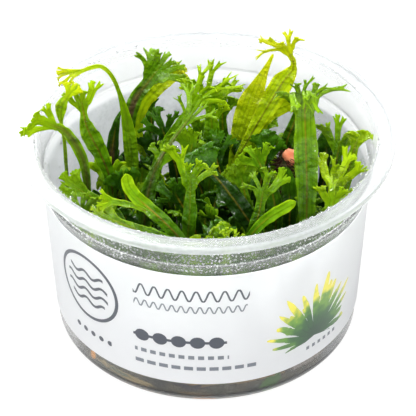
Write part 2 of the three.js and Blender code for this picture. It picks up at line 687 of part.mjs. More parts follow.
// A leaf's skin. Each ring of it has three corners: left edge, right edge, and the keel below.
class Lamina {
  constructor() {
    this.positions = [];
    this.faces = [];
  }

  corner(point) {
    this.positions.push(point.x, point.y, point.z);
    return this.positions.length / 3 - 1;
  }

  place(corner) {
    return new THREE.Vector3(...this.positions.slice(3 * corner, 3 * corner + 3));
  }

  widthOf([left, right]) {
    return this.place(left).distanceTo(this.place(right));
  }

  ring(shoot, width, keel) {
    const left = this.corner(shoot.moved(0, -width / 2).centre);
    const right = this.corner(shoot.moved(0, width / 2).centre);
    const under = this.corner(shoot.centre.clone().addScaledVector(shoot.face, -Math.min(keel, 0.6 * width)));
    return [left, right, under];
  }

  join(from, to) {
    for (let k = 0; k < 3; k += 1) {
      const next = (k + 1) % 3;
      this.faces.push(from[k], from[next], to[next], from[k], to[next], to[k]);
    }
  }

  closeStart([left, right, under]) {
    this.faces.push(left, under, right);
  }

  closeEnd([left, right, under]) {
    this.faces.push(left, right, under);
  }

  // Parts a ring among fingers, with a web of lamina that bulges forward between them.
  part([left, right, under], shoot, shares) {
    const [start, end] = [this.place(left), this.place(right)];
    const width = start.distanceTo(end);
    const total = shares.reduce((sum, share) => sum + share, 0);
    const corners = [left];
    let passed = 0;
    for (const share of shares.slice(0, -1)) {
      passed += share / total;
      const bulge = ARCH * width * (1 - (2 * passed - 1) ** 2);
      corners.push(this.corner(start.clone().lerp(end, passed).addScaledVector(shoot.forward, bulge)));
    }
    corners.push(right);
    for (let i = 1; i < shares.length; i += 1) {
      this.faces.push(left, corners[i + 1], corners[i]);
    }
    return shares.map((_, i) => {
      const [near, far] = [corners[i], corners[i + 1]];
      const { begun, turned } = shoot.across(this.place(near), this.place(far));
      const drop = Math.min(LOBE_KEEL, 0.6 * this.widthOf([near, far]));
      const keel = this.corner(begun.centre.clone().addScaledVector(begun.face, -drop));
      this.faces.push(under, near, keel, under, keel, far);
      return { ring: [near, far, keel], begun, turned };
    });
  }

  solid() {
    return toSolid(indexed(this.positions, this.faces));
  }
}

function radians(degrees) {
  return (degrees * Math.PI) / 180;
}

function facing(turn) {
  return new THREE.Vector3(Math.sin(radians(turn)), -Math.cos(radians(turn)), 0.4);
}

// The frond's blade as rows from foot to neck.
function bladeRows(frond) {
  const [x, y] = frond.foot;
  const above = frond.points.map((point) => new THREE.Vector3(...point));
  const points = [new THREE.Vector3(x, y, FOOT_LEVEL), ...above];
  const midrib = new THREE.CatmullRomCurve3(points, false, 'catmullrom', 0.5);
  const count = frond.points.length + EXTRA_ROWS;
  const rows = [];
  for (let i = 0; i <= count; i += 1) {
    const share = i / count;
    const swelling = mix(FOOT_SHARE, 1, smooth((share - frond.stalk) / (frond.peak - frond.stalk)));
    const narrowing = mix(1, frond.neck, smooth((share - frond.peak) / (frond.neckAt - frond.peak)));
    const face = facing(mix(frond.turn[0], frond.turn[1], share));
    const shoot = new Shoot(midrib.getPoint(share), midrib.getTangent(share), face);
    rows.push({ shoot, width: frond.width * swelling * narrowing });
  }
  return rows;
}

// Grows a stretch of a crest that turns and lifts as it goes. Gives its last ring and shoot.
function growStretch(lamina, ring, start, { widths, reach, turn, lift, rows }) {
  let shoot = start;
  let from = ring;
  let done = 0;
  for (let i = 1; i <= rows; i += 1) {
    const bent = EVEN_BEND + (1 - EVEN_BEND) * ((i - HEADING_AT) / rows);
    shoot = shoot.grown(reach / rows, turn * (bent - done), lift * (bent - done));
    done = bent;
    const to = lamina.ring(shoot, mix(widths[0], widths[1], i / rows), LOBE_KEEL);
    lamina.join(from, to);
    from = to;
  }
  return { ring: from, shoot };
}

// A finger of a crest: it broadens, and parts in two tips.
function growFinger(lamina, { ring, begun, turned }, { turn, length, lift, gap }, seed) {
  const width = lamina.widthOf(ring);
  const first = length * (FIRST_STRETCH + VARIES.stem * wobble(seed));
  const room = CROWDING * (width + first * gap);
  const broad = Math.min((BROADENING + VARIES.width * wobble(seed + 1)) * width, room);
  const rows = Math.abs(turn) + Math.abs(lift) > radians(STRONG_BEND) ? 2 : 1;
  const stem = growStretch(
    lamina, ring, begun, { widths: [width, broad], reach: first, turn: turn - turned, lift, rows });
  const uneven = VARIES.parting * wobble(seed + 2);
  lamina.part(stem.ring, stem.shoot, [1 + uneven, 1 - uneven]).forEach((part, number) => {
    const child = 2 * seed + 5 + 3 * number;
    const opening = Math.min(radians(FORK_SPREAD + VARIES.spread * wobble(child)), FORK_ROOM * gap);
    const tip = growStretch(lamina, part.ring, part.begun, {
      widths: [lamina.widthOf(part.ring), TIP_SHARE * lamina.widthOf(part.ring)],
      reach: (length - first) * (1 + VARIES.tip * wobble(child + 2)),
      turn: (1 - 2 * number) * opening - part.turned,
      lift: radians(FORK_TILT) * wobble(child + 1),
      rows: 1,
    });
    lamina.closeEnd(tip.ring);
  });
}

// The palm's length and flare, and its fingers from left to right.
function crestPlan(shape, seed) {
  if (shape.fingers.length > 0) {
    const fingers = shape.fingers.map(([turn, length, lift, share]) => (
      { turn: radians(turn), length, lift: radians(lift), share }));
    return { palm: shape.palm, flare: shape.flare, fingers };
  }
  const kind = CRESTS[shape.crest];
  const fingers = [];
  for (let k = 0; k < kind.fingers; k += 1) {
    const mark = seed + 7 * k;
    fingers.push({
      turn: radians(kind.spread * (1 - (2 * k) / (kind.fingers - 1)) + VARIES.turn * wobble(mark)),
      length: (1 - kind.palm) * shape.size * (1 + VARIES.length * wobble(mark + 1)),
      lift: radians(kind.lift * wobble(mark + 2) - kind.droop),
      share: 1 + VARIES.share * wobble(mark + 3),
    });
  }
  return { palm: kind.palm * shape.size, flare: kind.flare, fingers };
}

// The crest: the blade flares into a palm, and the palm parts into fingers.
function growCrest(lamina, ring, { shoot, width }, shape, seed) {
  const { palm, flare, fingers } = crestPlan(shape, seed);
  const hand = growStretch(lamina, ring, shoot, {
    widths: [width, flare * width], reach: palm, turn: 0, lift: 0.1 * wobble(seed + 2), rows: 1,
  });
  const parts = lamina.part(hand.ring, hand.shoot, fingers.map(({ share }) => share));
  parts.forEach((part, i) => {
    const beside = [fingers[i - 1], fingers[i + 1]].filter((finger) => finger);
    const gap = Math.min(...beside.map(({ turn }) => Math.abs(turn - fingers[i].turn)));
    growFinger(lamina, part, { ...fingers[i], gap }, seed + 11 * i);
  });
}

// A lobe that leaves the blade's edge and tapers to its tip.
function sideLobe(rows, { at, side, length, width, turn }) {
  const row = rows[Math.round(at * (rows.length - 1))];
  let shoot = row.shoot.moved(0, 0.25 * side * row.width);
  const lobe = new Lamina();
  let from = lobe.ring(shoot, 0.6 * width, LOBE_KEEL);
  lobe.closeStart(from);
  for (let i = 1; i <= LOBE_ROWS; i += 1) {
    shoot = shoot.grown(length / LOBE_ROWS, (-side * radians(turn)) / LOBE_ROWS, 0);
    const to = lobe.ring(shoot, i === LOBE_ROWS ? TIP_SHARE * width : width, LOBE_KEEL);
    lobe.join(from, to);
    from = to;
  }
  lobe.closeEnd(from);
  return lobe.solid();
}

function frond(name, index) {
  const shape = { ...PLAIN, ...FRONDS[name] };
  const rows = bladeRows(shape);
  const lamina = new Lamina();
  let from = lamina.ring(rows[0].shoot, rows[0].width, BLADE_KEEL);
  lamina.closeStart(from);
  for (const row of rows.slice(1)) {
    const to = lamina.ring(row.shoot, row.width, BLADE_KEEL);
    lamina.join(from, to);
    from = to;
  }
  if (shape.crest || shape.fingers.length > 0) {
    growCrest(lamina, from, rows[rows.length - 1], shape, 10 * index);
  } else {
    lamina.closeEnd(from);
  }
  let body = lamina.solid();
  for (const lobe of shape.lobes) {
    body = body.add(sideLobe(rows, lobe));
  }
  addPiece(name, toGeometry(body), shape.tone);
}

cup();
label();
rootMat();
Object.keys(RHIZOMES).forEach((name, index) => creepingRhizome(name, 20 * index + 3));
const stubPath = new THREE.CatmullRomCurve3(STUB.map((point) => new THREE.Vector3(...point)));
rhizome('rhizome_stub', stubPath, STUB_RINGS, 400);
Object.keys(FRONDS).forEach((name, index) => frond(name, index + 1));

export default plant;
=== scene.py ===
import math
import random

import bpy
from mathutils import Matrix, Vector, noise


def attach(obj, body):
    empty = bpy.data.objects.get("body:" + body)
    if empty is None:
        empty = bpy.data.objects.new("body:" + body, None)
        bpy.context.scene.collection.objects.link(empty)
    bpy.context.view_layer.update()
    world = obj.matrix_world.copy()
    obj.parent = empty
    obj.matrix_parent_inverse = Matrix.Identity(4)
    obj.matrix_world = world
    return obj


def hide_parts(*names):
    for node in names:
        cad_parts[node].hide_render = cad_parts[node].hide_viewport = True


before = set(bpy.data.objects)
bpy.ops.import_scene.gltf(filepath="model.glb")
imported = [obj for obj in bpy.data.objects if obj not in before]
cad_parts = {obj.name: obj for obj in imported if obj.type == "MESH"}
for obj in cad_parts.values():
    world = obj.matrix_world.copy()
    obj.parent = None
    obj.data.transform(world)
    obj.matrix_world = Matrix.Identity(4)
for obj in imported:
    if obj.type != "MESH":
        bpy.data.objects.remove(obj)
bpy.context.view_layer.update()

bpy.ops.object.select_all(action="DESELECT")

# The cup stands on a plain white light table in soft light from all round, with a broad lamp
# above and behind it that shines through the leaves, and small ones in front whose glints show
# in what is wet. It is seen from above its front.
CAMERA_PLACE = Vector((0, -0.4269, 0.3653))
CAMERA_PITCH = math.radians(37.84)
CAMERA_YAW = math.radians(0.05)
CAMERA_ROLL = math.radians(-0.17)
LENS_MM = 171.75
TABLE_WIDTH = 6
TUFT_MIDDLE = Vector((0, 0, 0.04))
GLINT_PLACES = (
    (-0.24, -0.46, 0.34), (0.02, -0.52, 0.38), (0.26, -0.44, 0.38), (-0.32, -0.24, 0.48),
    (0.33, -0.20, 0.50), (-0.12, -0.30, 0.58), (0.14, -0.28, 0.60), (0.04, -0.10, 0.68),
)
GLINT_SIZE = 0.045
GLINT_POWER = 0.5

bpy.ops.object.camera_add()
camera = bpy.context.object
camera.name = "camera"
camera.data.lens = LENS_MM
camera.matrix_world = (
    Matrix.Translation(CAMERA_PLACE)
    @ Matrix.Rotation(-CAMERA_YAW, 4, "Z")
    @ Matrix.Rotation(math.pi / 2 - CAMERA_PITCH, 4, "X")
    @ Matrix.Rotation(CAMERA_ROLL, 4, "Z")
)
bpy.context.scene.camera = camera
bpy.context.scene.view_settings.view_transform = "Standard"


class Wire:
    """An output socket in a material, on which sums are written as in Python."""

    def __init__(self, tree, socket=None):
        self.tree = tree
        self.socket = socket

    def node(self, kind, settings=None, inputs=None, output=0):
        made = self.tree.nodes.new("ShaderNode" + kind)
        for name, value in (settings or {}).items():
            if name == "stops":
                ramp = made.color_ramp.elements
                while len(ramp) < len(value):
                    ramp.new(0.5)
                for stop, (place, colour) in zip(ramp, value):
                    stop.position = place
                    stop.color = (*colour, 1)
            else:
                setattr(made, name, value)
        for name, value in (inputs or {}).items():
            if isinstance(value, Wire):
                self.tree.links.new(value.socket, made.inputs[name])
            else:
                made.inputs[name].default_value = value
        return Wire(self.tree, made.outputs[output])

    def math(self, operation, *others):
        values = dict(enumerate((self, *others)))
        return self.node("Math", {"operation": operation}, values)

    def __add__(self, other):
        return self.math("ADD", other)

    __radd__ = __add__

    def __sub__(self, other):
        return self.math("SUBTRACT", other)

    def __rsub__(self, other):
        return self.node("Math", {"operation": "SUBTRACT"}, {0: other, 1: self})

    def __mul__(self, other):
        return self.math("MULTIPLY", other)

    __rmul__ = __mul__

    def __truediv__(self, other):
        return self.math("DIVIDE", other)

    def __lt__(self, other):
        return self.math("LESS_THAN", other)

    def __gt__(self, other):
        return self.math("GREATER_THAN", other)

    def __abs__(self):
        return self.math("ABSOLUTE")

    def between(self, low, high):
        return self.node("MapRange", {"interpolation_type": "SMOOTHSTEP"},
                         {"Value": self, "From Min": low, "From Max": high})

    def blend(self, first, second):
        """A colour between two colours, by this number from 0 to 1."""
        sides = {0: self, 6: as_colour(first), 7: as_colour(second)}
        return self.node("Mix", {"data_type": "RGBA"}, sides, output=2)


def as_colour(colour):
    return colour if isinstance(colour, Wire) else (*colour, 1)


def new_material(name):
    """A material with its tree emptied but for its output node."""
    material = bpy.data.materials.new(name)
    material.use_nodes = True
    tree = material.node_tree
    tree.nodes.clear()
    output = tree.nodes.new("ShaderNodeOutputMaterial")
    return material, Wire(tree), output


def finish_material(output, shader):
    shader.tree.links.new(shader.socket, output.inputs["Surface"])


def noise_at(place, scale, detail, **more):
    """Cloudy noise at a place."""
    return place.node("TexNoise", inputs={"Vector": place, "Scale": scale, "Detail": detail, **more})


def ramp(value, stops):
    """A colour that changes with a number, by (number, colour) stops."""
    return value.node("ValToRGB", {"stops": stops}, {0: value})


def parts_of(place):
    """The x, y and z of a place."""
    return [place.node("SeparateXYZ", inputs={0: place}, output=k) for k in range(3)]


def select_only(piece):
    bpy.ops.object.select_all(action="DESELECT")
    piece.select_set(True)
    bpy.context.view_layer.objects.active = piece


bpy.ops.mesh.primitive_plane_add(size=TABLE_WIDTH)
table = bpy.context.object
table.name = "table"
material, wire, output = new_material("white_table")
finish_material(output, wire.node("BsdfPrincipled", inputs={
    "Base Color": (0.08, 0.08, 0.08, 1),
    "Roughness": 0.9,
    "Specular IOR Level": 0,
    "Emission Color": (1, 1, 1, 1),
    "Emission Strength": 0.92,
}))
table.data.materials.append(material)

world = bpy.data.worlds.new("soft_room")
world.use_nodes = True
world.node_tree.nodes["Background"].inputs["Color"].default_value = (0.97, 0.985, 1, 1)
world.node_tree.nodes["Background"].inputs["Strength"].default_value = 0.80
bpy.context.scene.world = world


def lamp(name, place, size, power):
    """A square soft lamp that shines at the middle of the tuft."""
    bpy.ops.object.light_add(type="AREA", location=place)
    light = bpy.context.object
    light.name = name
    light.data.size = size
    light.data.energy = power
    light.rotation_euler = (TUFT_MIDDLE - Vector(place)).to_track_quat("-Z", "Y").to_euler()


lamp("back_lamp", (-0.25, 0.45, 0.7), 0.5, 9)
lamp("front_lamp", (0.45, -0.35, 0.75), 0.35, 2.6)
lamp("left_lamp", (-0.6, -0.3, 0.3), 0.4, 2.6)
lamp("top_lamp", (-0.1, 0, 0.9), 0.25, 2.5)
for number, place in enumerate(GLINT_PLACES):
    lamp(f"glint_{number}", place, GLINT_SIZE, GLINT_POWER)

# The cup: clear moulded polypropylene, spun round its axis, with a rounded foot, a tapered wall,
# a bead round the neck for the lid and a flange with a turned-down lip. Its inside is misted with
# condensed water, and the wet roots lie flat against its foot. Its milky skin is painted whiter on
# the left side and at the back, as painted light.
RIM_RADIUS = 0.050
RIM_HEIGHT = 0.0595
MOUTH_RADIUS = 0.0452
FLANGE = 0.0011
LIP_DROP = 0.0017
LIP_WIDTH = 0.0009
NECK_RADIUS = 0.0441
BEAD_RADIUS = 0.0449
BEAD_HEIGHT = 0.0496
BEAD_HALF = 0.0009
FOOT_ROUNDING = 0.003
WALL = 0.0008
FLOOR = 0.001
LABEL_BOTTOM = 0.0076
LABEL_TOP = 0.0459
LABEL_BOTTOM_RADIUS = 0.0419
LABEL_TOP_RADIUS = 0.04365
LABEL_THICKNESS = 0.00025
LABEL_GAP = 0.0001
CUP_STEPS = 180
WALL_START = 0.004
THROAT_DROP = 0.0012
THROAT_INSET = 0.0002
MOUTH_EDGE = 0.0006
RIM_EDGE = 0.0004
LIP_OUTER_EDGE = 0.0003
LIP_INNER_EDGE = 0.0002


def mix(first, second, share):
    return first + (second - first) * share


def wall_radius(height):
    """Radius of the outside of the tapered wall at a height."""
    share = (height - LABEL_BOTTOM) / (LABEL_TOP - LABEL_BOTTOM)
    return mix(LABEL_BOTTOM_RADIUS, LABEL_TOP_RADIUS, share) - LABEL_GAP


def arc(radius, height, size, start, end, steps=5):
    """Points of an arc round (radius, height), its angles in degrees."""
    angles = [math.radians(mix(start, end, i / steps)) for i in range(steps + 1)]
    return [(radius + size * math.cos(a), height + size * math.sin(a)) for a in angles]


def spun(name, outline, closed):
    """A smooth round made by spinning an outline of (radius, height) points."""
    mesh = bpy.data.meshes.new(name)
    count = len(outline)
    edges = [(i, (i + 1) % count) for i in range(count if closed else count - 1)]
    mesh.from_pydata([(radius, 0, height) for radius, height in outline], edges, [])
    piece = bpy.data.objects.new(name, mesh)
    bpy.context.collection.objects.link(piece)
    select_only(piece)
    bpy.ops.object.mode_set(mode="EDIT")
    bpy.ops.mesh.select_all(action="SELECT")
    bpy.ops.mesh.spin(steps=CUP_STEPS, angle=2 * math.pi, center=(0, 0, 0), axis=(0, 0, 1))
    bpy.ops.mesh.select_all(action="SELECT")
    bpy.ops.mesh.remove_doubles(threshold=1e-6)
    bpy.ops.mesh.normals_make_consistent(inside=False)
    bpy.ops.object.mode_set(mode="OBJECT")
    bpy.ops.object.shade_smooth_by_angle(angle=math.radians(50))
    return piece


def neck(offset):
    """The wall from label to mouth, with the bead, this far in from the outside."""
    lower = (NECK_RADIUS - offset, BEAD_HEIGHT - 1.6 * BEAD_HALF)
    upper = (NECK_RADIUS - offset, BEAD_HEIGHT + 1.6 * BEAD_HALF)
    bead = arc(BEAD_RADIUS - 0.8 * BEAD_HALF - offset, BEAD_HEIGHT, 0.8 * BEAD_HALF, -80, 80, 8)
    return [(wall_radius(LABEL_TOP) - offset, LABEL_TOP), lower, *bead, upper]


flange_under = RIM_HEIGHT - FLANGE
lip_inside = RIM_RADIUS - LIP_WIDTH
foot = wall_radius(FOOT_ROUNDING)
floor_rounding = FOOT_ROUNDING - FLOOR
throat = flange_under - THROAT_DROP
lip_bottom = RIM_HEIGHT - LIP_DROP
outline = [(0, 0), (0.5 * foot, 0)]
outline += arc(foot - FOOT_ROUNDING, FOOT_ROUNDING, FOOT_ROUNDING, -90, 0, 9)
outline += [(wall_radius(WALL_START), WALL_START), *neck(0)]
outline += [(MOUTH_RADIUS - THROAT_INSET, throat), (MOUTH_RADIUS + MOUTH_EDGE, flange_under)]
outline += [(lip_inside - 0.0005, flange_under), (lip_inside, flange_under - RIM_EDGE)]
outline += arc(lip_inside + LIP_INNER_EDGE, lip_bottom + LIP_INNER_EDGE, LIP_INNER_EDGE, 180, 270, 3)
outline += arc(RIM_RADIUS - LIP_OUTER_EDGE, lip_bottom + LIP_OUTER_EDGE, LIP_OUTER_EDGE, -90, 0, 3)
outline += arc(RIM_RADIUS - RIM_EDGE, RIM_HEIGHT - RIM_EDGE, RIM_EDGE, 0, 90, 4)
outline += arc(MOUTH_RADIUS + MOUTH_EDGE, RIM_HEIGHT - MOUTH_EDGE, MOUTH_EDGE, 90, 170, 5)
outline += [(MOUTH_RADIUS - WALL + 0.0001, throat), *reversed(neck(WALL))]
outline += [(wall_radius(WALL_START) - WALL, WALL_START)]
outline += arc(foot - WALL - floor_rounding, FOOT_ROUNDING, floor_rounding, 0, -90, 7)
outline += [(0.5 * foot, FLOOR), (0, FLOOR)]
cup = spun("clear_cup", outline, closed=False)

# The larger marks on the roots where they lie against the front of the foot: root pieces, a pale
# grey patch at the left, a dark slate one at the right, and a band of painted shade just under the
# label at the front. Each is an angle from the front and a height in mm, their half sizes, the slope
# and the colour.
ROOT_PIECES = (
    (-72, 3.5, 13, 4.5, 0, (0.42, 0.42, 0.42)),
    (66, 3.5, 18, 4.5, 0, (0.13, 0.14, 0.16)),
    (-35, 3.6, 14, 1.5, -0.06, (0.38, 0.29, 0.14)),
    (-37, 3.9, 6, 0.9, -0.05, (0.16, 0.18, 0.12)),
    (-49, 4.3, 1.6, 1.9, 0, (0.85, 0.34, 0.03)),
    # painted shade: a near-black band just below the label's lower edge
    (-5, 5.2, 9, 1.1, 0, (0.035, 0.030, 0.040)),
    (-6, 2.6, 6, 0.7, 0, (0.22, 0.16, 0.09)),
    (-1, 1.3, 5, 0.6, 0, (0.34, 0.15, 0.05)),
    (25, 4.2, 4.2, 2.6, 0.1, (0.060, 0.17, 0.025)),
    (42, 5.6, 9, 1.5, 0, (0.33, 0.29, 0.26)),
)


def root_tint(place):
    """The roots' mottled colours, with the larger pieces among them and the painted shade under the label.
    """
    x, y, z = parts_of(place)
    up = z * 1000
    angle = x.math("ARCTAN2", y * -1) * (180 / math.pi)
    patch = noise_at(place, 95, 5, Roughness=0.65)
    fibre = noise_at(place, 520, 4, Distortion=1.6)
    tint = ramp(patch, [
        (0.34, (0.020, 0.022, 0.022)),
        (0.44, (0.055, 0.055, 0.045)),
        (0.52, (0.105, 0.090, 0.060)),
        (0.60, (0.055, 0.062, 0.040)),
        (0.72, (0.17, 0.155, 0.13)),
    ])
    tint = (0.6 * fibre.between(0.54, 0.70)).blend(tint, (0.16, 0.12, 0.07))
    for middle, height, half_width, half_height, slope, colour in ROOT_PIECES:
        across = angle - middle
        rise = up - height - across * slope
        reach = (across * across * half_width ** -2 + rise * rise * half_height ** -2).math("SQRT")
        reach = reach + 1.6 * (patch - 0.5) + 1.4 * (fibre - 0.5)
        tint = (1 - reach.between(0.75, 1.05)).blend(tint, colour)
    return tint


material, wire, output = new_material("clear_plastic")
place = wire.node("TexCoord", output=3)
x, y, height = parts_of(place)
from_axis = (x * x + y * y).math("SQRT")
haze = noise_at(place, 900, 3)
swirl = noise_at(place, 60, 2)
mist = wire.node("TexVoronoi", inputs={"Vector": place, "Scale": 1150})
waver = wire.node("Bump", inputs={"Height": swirl + 0.15 * haze, "Strength": 0.1, "Distance": 0.0006})
at_foot = 1 - height.between(0.0014, 0.0027)
in_flange = height.between(RIM_HEIGHT - 0.0034, RIM_HEIGHT - 0.001)
in_neck = height.between(LABEL_TOP, LABEL_TOP + 0.0015) * (1 - in_flange)
at_lip = from_axis.between(0.0482, 0.0494) * in_flange * (0.5 + 0.5 * y.between(-0.02, 0.01))
# The back half above 16 mm gets more milk, and its neck's milky skin is painted near white: painted light
# where the back of the cup is lit.
fog_and_light_back = y.between(-0.012, 0.010) * height.between(0.012, 0.020) * (1 - in_flange)
clear_tint = height.between(LABEL_BOTTOM, LABEL_TOP).blend((0.88, 0.88, 0.87), (0.965, 0.975, 0.98))
clear_tint = in_flange.blend(clear_tint, (0.98, 0.99, 0.99))
clear = wire.node("BsdfPrincipled", inputs={
    "Base Color": clear_tint,
    "Roughness": 0.14 + 0.16 * haze,
    "IOR": 1.3,
    "Transmission Weight": 1,
    "Coat Weight": 0.2 * in_neck + 0.2 * in_flange,
    "Coat Roughness": 0.12,
    "Normal": waver,
})
# painted light: the milky skin is painted whiter near the cup's left side
painted_light_left = (x * -1).between(0.0370, 0.0405)
dewy = (0.5 * haze + 0.5 * swirl).between(0.36, 0.62)
milk_tint = painted_light_left.blend(dewy.blend((0.46, 0.485, 0.495), (0.68, 0.705, 0.715)), (0.90, 0.91, 0.92))
# painted light: the back of the neck is painted near white
milk_tint = in_neck.blend(milk_tint, fog_and_light_back.blend((0.86, 0.89, 0.86), (0.96, 0.965, 0.97)))
skin = wire.node("BsdfPrincipled", inputs={
    "Base Color": at_foot.blend(milk_tint, root_tint(place)),
    "Roughness": 0.38,
    "Specular IOR Level": 0.2,
    "Coat Weight": 0.2 * (1 - at_foot),
    "Coat Roughness": 0.1,
    "Normal": waver,
})
inner = wire.node("BsdfTranslucent", inputs={"Color": (0.84, 0.86, 0.865, 1)})
milk = wire.node("MixShader", inputs={0: 0.5 * (1 - at_foot), 1: skin, 2: inner})
misted = (1 - mist.between(0.22, 0.33)) * (0.5 + 0.5 * swirl.between(0.42, 0.52))
misted = misted * in_neck * (1 - fog_and_light_back)
cloud = 0.03 + 0.95 * at_foot + 0.03 * in_neck + 0.17 * in_flange + 0.4 * at_lip + 0.3 * fog_and_light_back
cloud = (cloud + 0.05 * (swirl - 0.5) + 0.7 * misted).math("MINIMUM", 0.96)
finish_material(output, wire.node("MixShader", inputs={0: cloud, 1: clear, 2: milk}))
cup.data.materials.append(material)
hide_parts("cup")
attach(cup, "root")

# The label: one white film band glued round the tapered wall, printed on its outside. The print
# is generic: a round mark of water lines, rows of waves, dots and dashes, and a spray of leaves.
BAND_RADIUS_MM = 43
COUNT_START_MM = -200
LABEL_SLOPE = (LABEL_TOP_RADIUS - LABEL_BOTTOM_RADIUS) / (LABEL_TOP - LABEL_BOTTOM)
FILM = (0.90, 0.91, 0.925)
FILM_SHADE = (0.86, 0.87, 0.885)
INK = (0.035, 0.042, 0.058)
PALE_INK = (0.11, 0.125, 0.15)
RING_X = -35.0
RING_LEVEL = 30.8
RING_RADIUS = 10.4
RING_WAVES = ((35.4, 0.60), (32.3, 0.72), (29.2, 0.72), (26.1, 0.60))
SPRAY_X = 31.5
SPRAY_LEVEL = 15.5
outline = [
    (LABEL_BOTTOM_RADIUS, LABEL_BOTTOM),
    (LABEL_BOTTOM_RADIUS + LABEL_THICKNESS, LABEL_BOTTOM),
    (LABEL_TOP_RADIUS + LABEL_THICKNESS, LABEL_TOP),
    (LABEL_TOP_RADIUS, LABEL_TOP),
]
label = spun("label_band", outline, closed=True)

material, wire, output = new_material("printed_film")
place = wire.node("TexCoord", output=3)
x, y, z = parts_of(place)
along = x.math("ARCTAN2", y * -1) * BAND_RADIUS_MM
up = z * 1000
outside = (x * x + y * y).math("SQRT") - z * LABEL_SLOPE
outside = outside > LABEL_BOTTOM_RADIUS + 0.6 * LABEL_THICKNESS - LABEL_BOTTOM * LABEL_SLOPE


def within(low, high):
    """Is the place round the band, in millimetres from its front, between these two?"""
    return (along > low) * (along < high)


def waves(level, height, period, stroke, start, end):
    """A printed wavy line."""
    turn = 2 * math.pi / period
    rise = up - level - 0.5 * height * (along * turn).math("SINE")
    slope = 0.5 * height * turn * (along * turn).math("COSINE")
    distance = abs(rise) / (slope * slope + 1).math("SQRT")
    return (distance < 0.5 * stroke) * within(start, end)


def dashes(level, height, period, filled, start, end):
    """A printed row of dashes, with this share of each period filled."""
    step = (along - COUNT_START_MM).math("MODULO", period)
    return (step < filled * period) * (abs(up - level) < 0.5 * height) * within(start, end)


def dots(level, radius, period, start, end):
    """A printed row of round dots."""
    step = (along - COUNT_START_MM).math("MODULO", period) - 0.5 * period
    distance = (step * step + (up - level) * (up - level)).math("SQRT")
    return (distance < radius) * within(start, end)


side = along - RING_X
rise = up - RING_LEVEL
ink = abs((side * side + rise * rise).math("SQRT") - RING_RADIUS) < 0.5
for level, share in RING_WAVES:
    reach = share * RING_RADIUS
    ink = ink + waves(level, 1.5, 6.2, 0.85, RING_X - reach, RING_X + reach)
ink = ink + dots(14.6, 0.85, 3.1, RING_X - 7.6, RING_X + 7.6)
ink = ink + waves(38.9, 3.3, 3.6, 0.5, -19.4, 10.9)
ink = ink + dots(22.6, 2.0, 5.0, -20.0, 5.2) + dashes(22.6, 0.9, 5.0, 1.0, -20.0, 5.2)
pale = waves(34.2, 2.0, 2.4, 0.42, -19.4, 10.4)
pale = pale + dashes(17.2, 1.3, 2.6, 0.62, -19.8, 5.8) + dashes(13.2, 1.3, 3.4, 0.72, -19.8, 13.6)
pale = pale + dashes(12.0, 1.2, 2.1, 0.5, 28.0, 40.6)

side = along - SPRAY_X
rise = up - SPRAY_LEVEL
angle = side.math("ARCTAN2", rise)
reach = (side * side + rise * rise).math("SQRT")
ragged = noise_at(place, 330, 3)
near_fan = abs((angle * 9.5 + 2.0 * (ragged - 0.5)).math("COSINE"))
far_fan = abs((angle * 13.0 + 0.6).math("COSINE"))
near_length = 10.5 + 4.5 * angle.math("COSINE") + 2.2 * (angle * 5.0).math("SINE") + 4 * (ragged - 0.5)
far_length = 12.5 + 6.5 * angle.math("COSINE") + 1.8 * (angle * 8.0).math("SINE") + 4 * (ragged - 0.5)
near_leaf = (reach < near_length * (0.35 + 0.65 * near_fan)) * (abs(angle) < 1.85)
far_leaf = (reach < far_length * (0.30 + 0.70 * far_fan)) * (abs(angle) < 1.75)
leaf = near_leaf.math("MAXIMUM", far_leaf)
outer = (reach / 18 + 0.7 * (ragged - 0.5)).between(0, 1)
leaf_colour = ramp(outer, [
    (0.0, (0.010, 0.045, 0.020)),
    (0.40, (0.022, 0.105, 0.022)),
    (0.72, (0.13, 0.28, 0.025)),
    (0.95, (0.70, 0.64, 0.05)),
])
gap = (1 - near_fan.between(0.16, 0.40)) * near_leaf
leaf_colour = (0.7 * gap).blend(leaf_colour, (0.006, 0.030, 0.020))
grain = noise_at(place, 260, 4)
colour = (leaf * outside).blend(grain.blend(FILM_SHADE, FILM), leaf_colour)
colour = (pale.math("MINIMUM", 1) * outside).blend(colour, PALE_INK)
colour = (ink.math("MINIMUM", 1) * outside).blend(colour, INK)
inked = (0.85 * ink).math("MAXIMUM", 0.7 * pale).math("MAXIMUM", 0.8 * leaf)
inked = inked.math("MINIMUM", 0.85) * outside
soft = noise_at(place, 90, 2)
skin = wire.node("Bump", inputs={"Height": soft, "Strength": 0.05, "Distance": 0.0005})
paper = wire.node("BsdfPrincipled", inputs={
    "Base Color": colour,
    "Roughness": 0.34 + 0.08 * grain,
    "Coat Weight": 0.25,
    "Coat Roughness": 0.25,
    "Normal": skin,
})
glow = wire.node("BsdfTranslucent", inputs={"Color": (0.93, 0.935, 0.935, 1)})
finish_material(output, wire.node("MixShader", inputs={0: 0.58 * (1 - inked), 1: paper, 2: glow}))
label.data.materials.append(material)
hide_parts("label")
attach(label, "root")

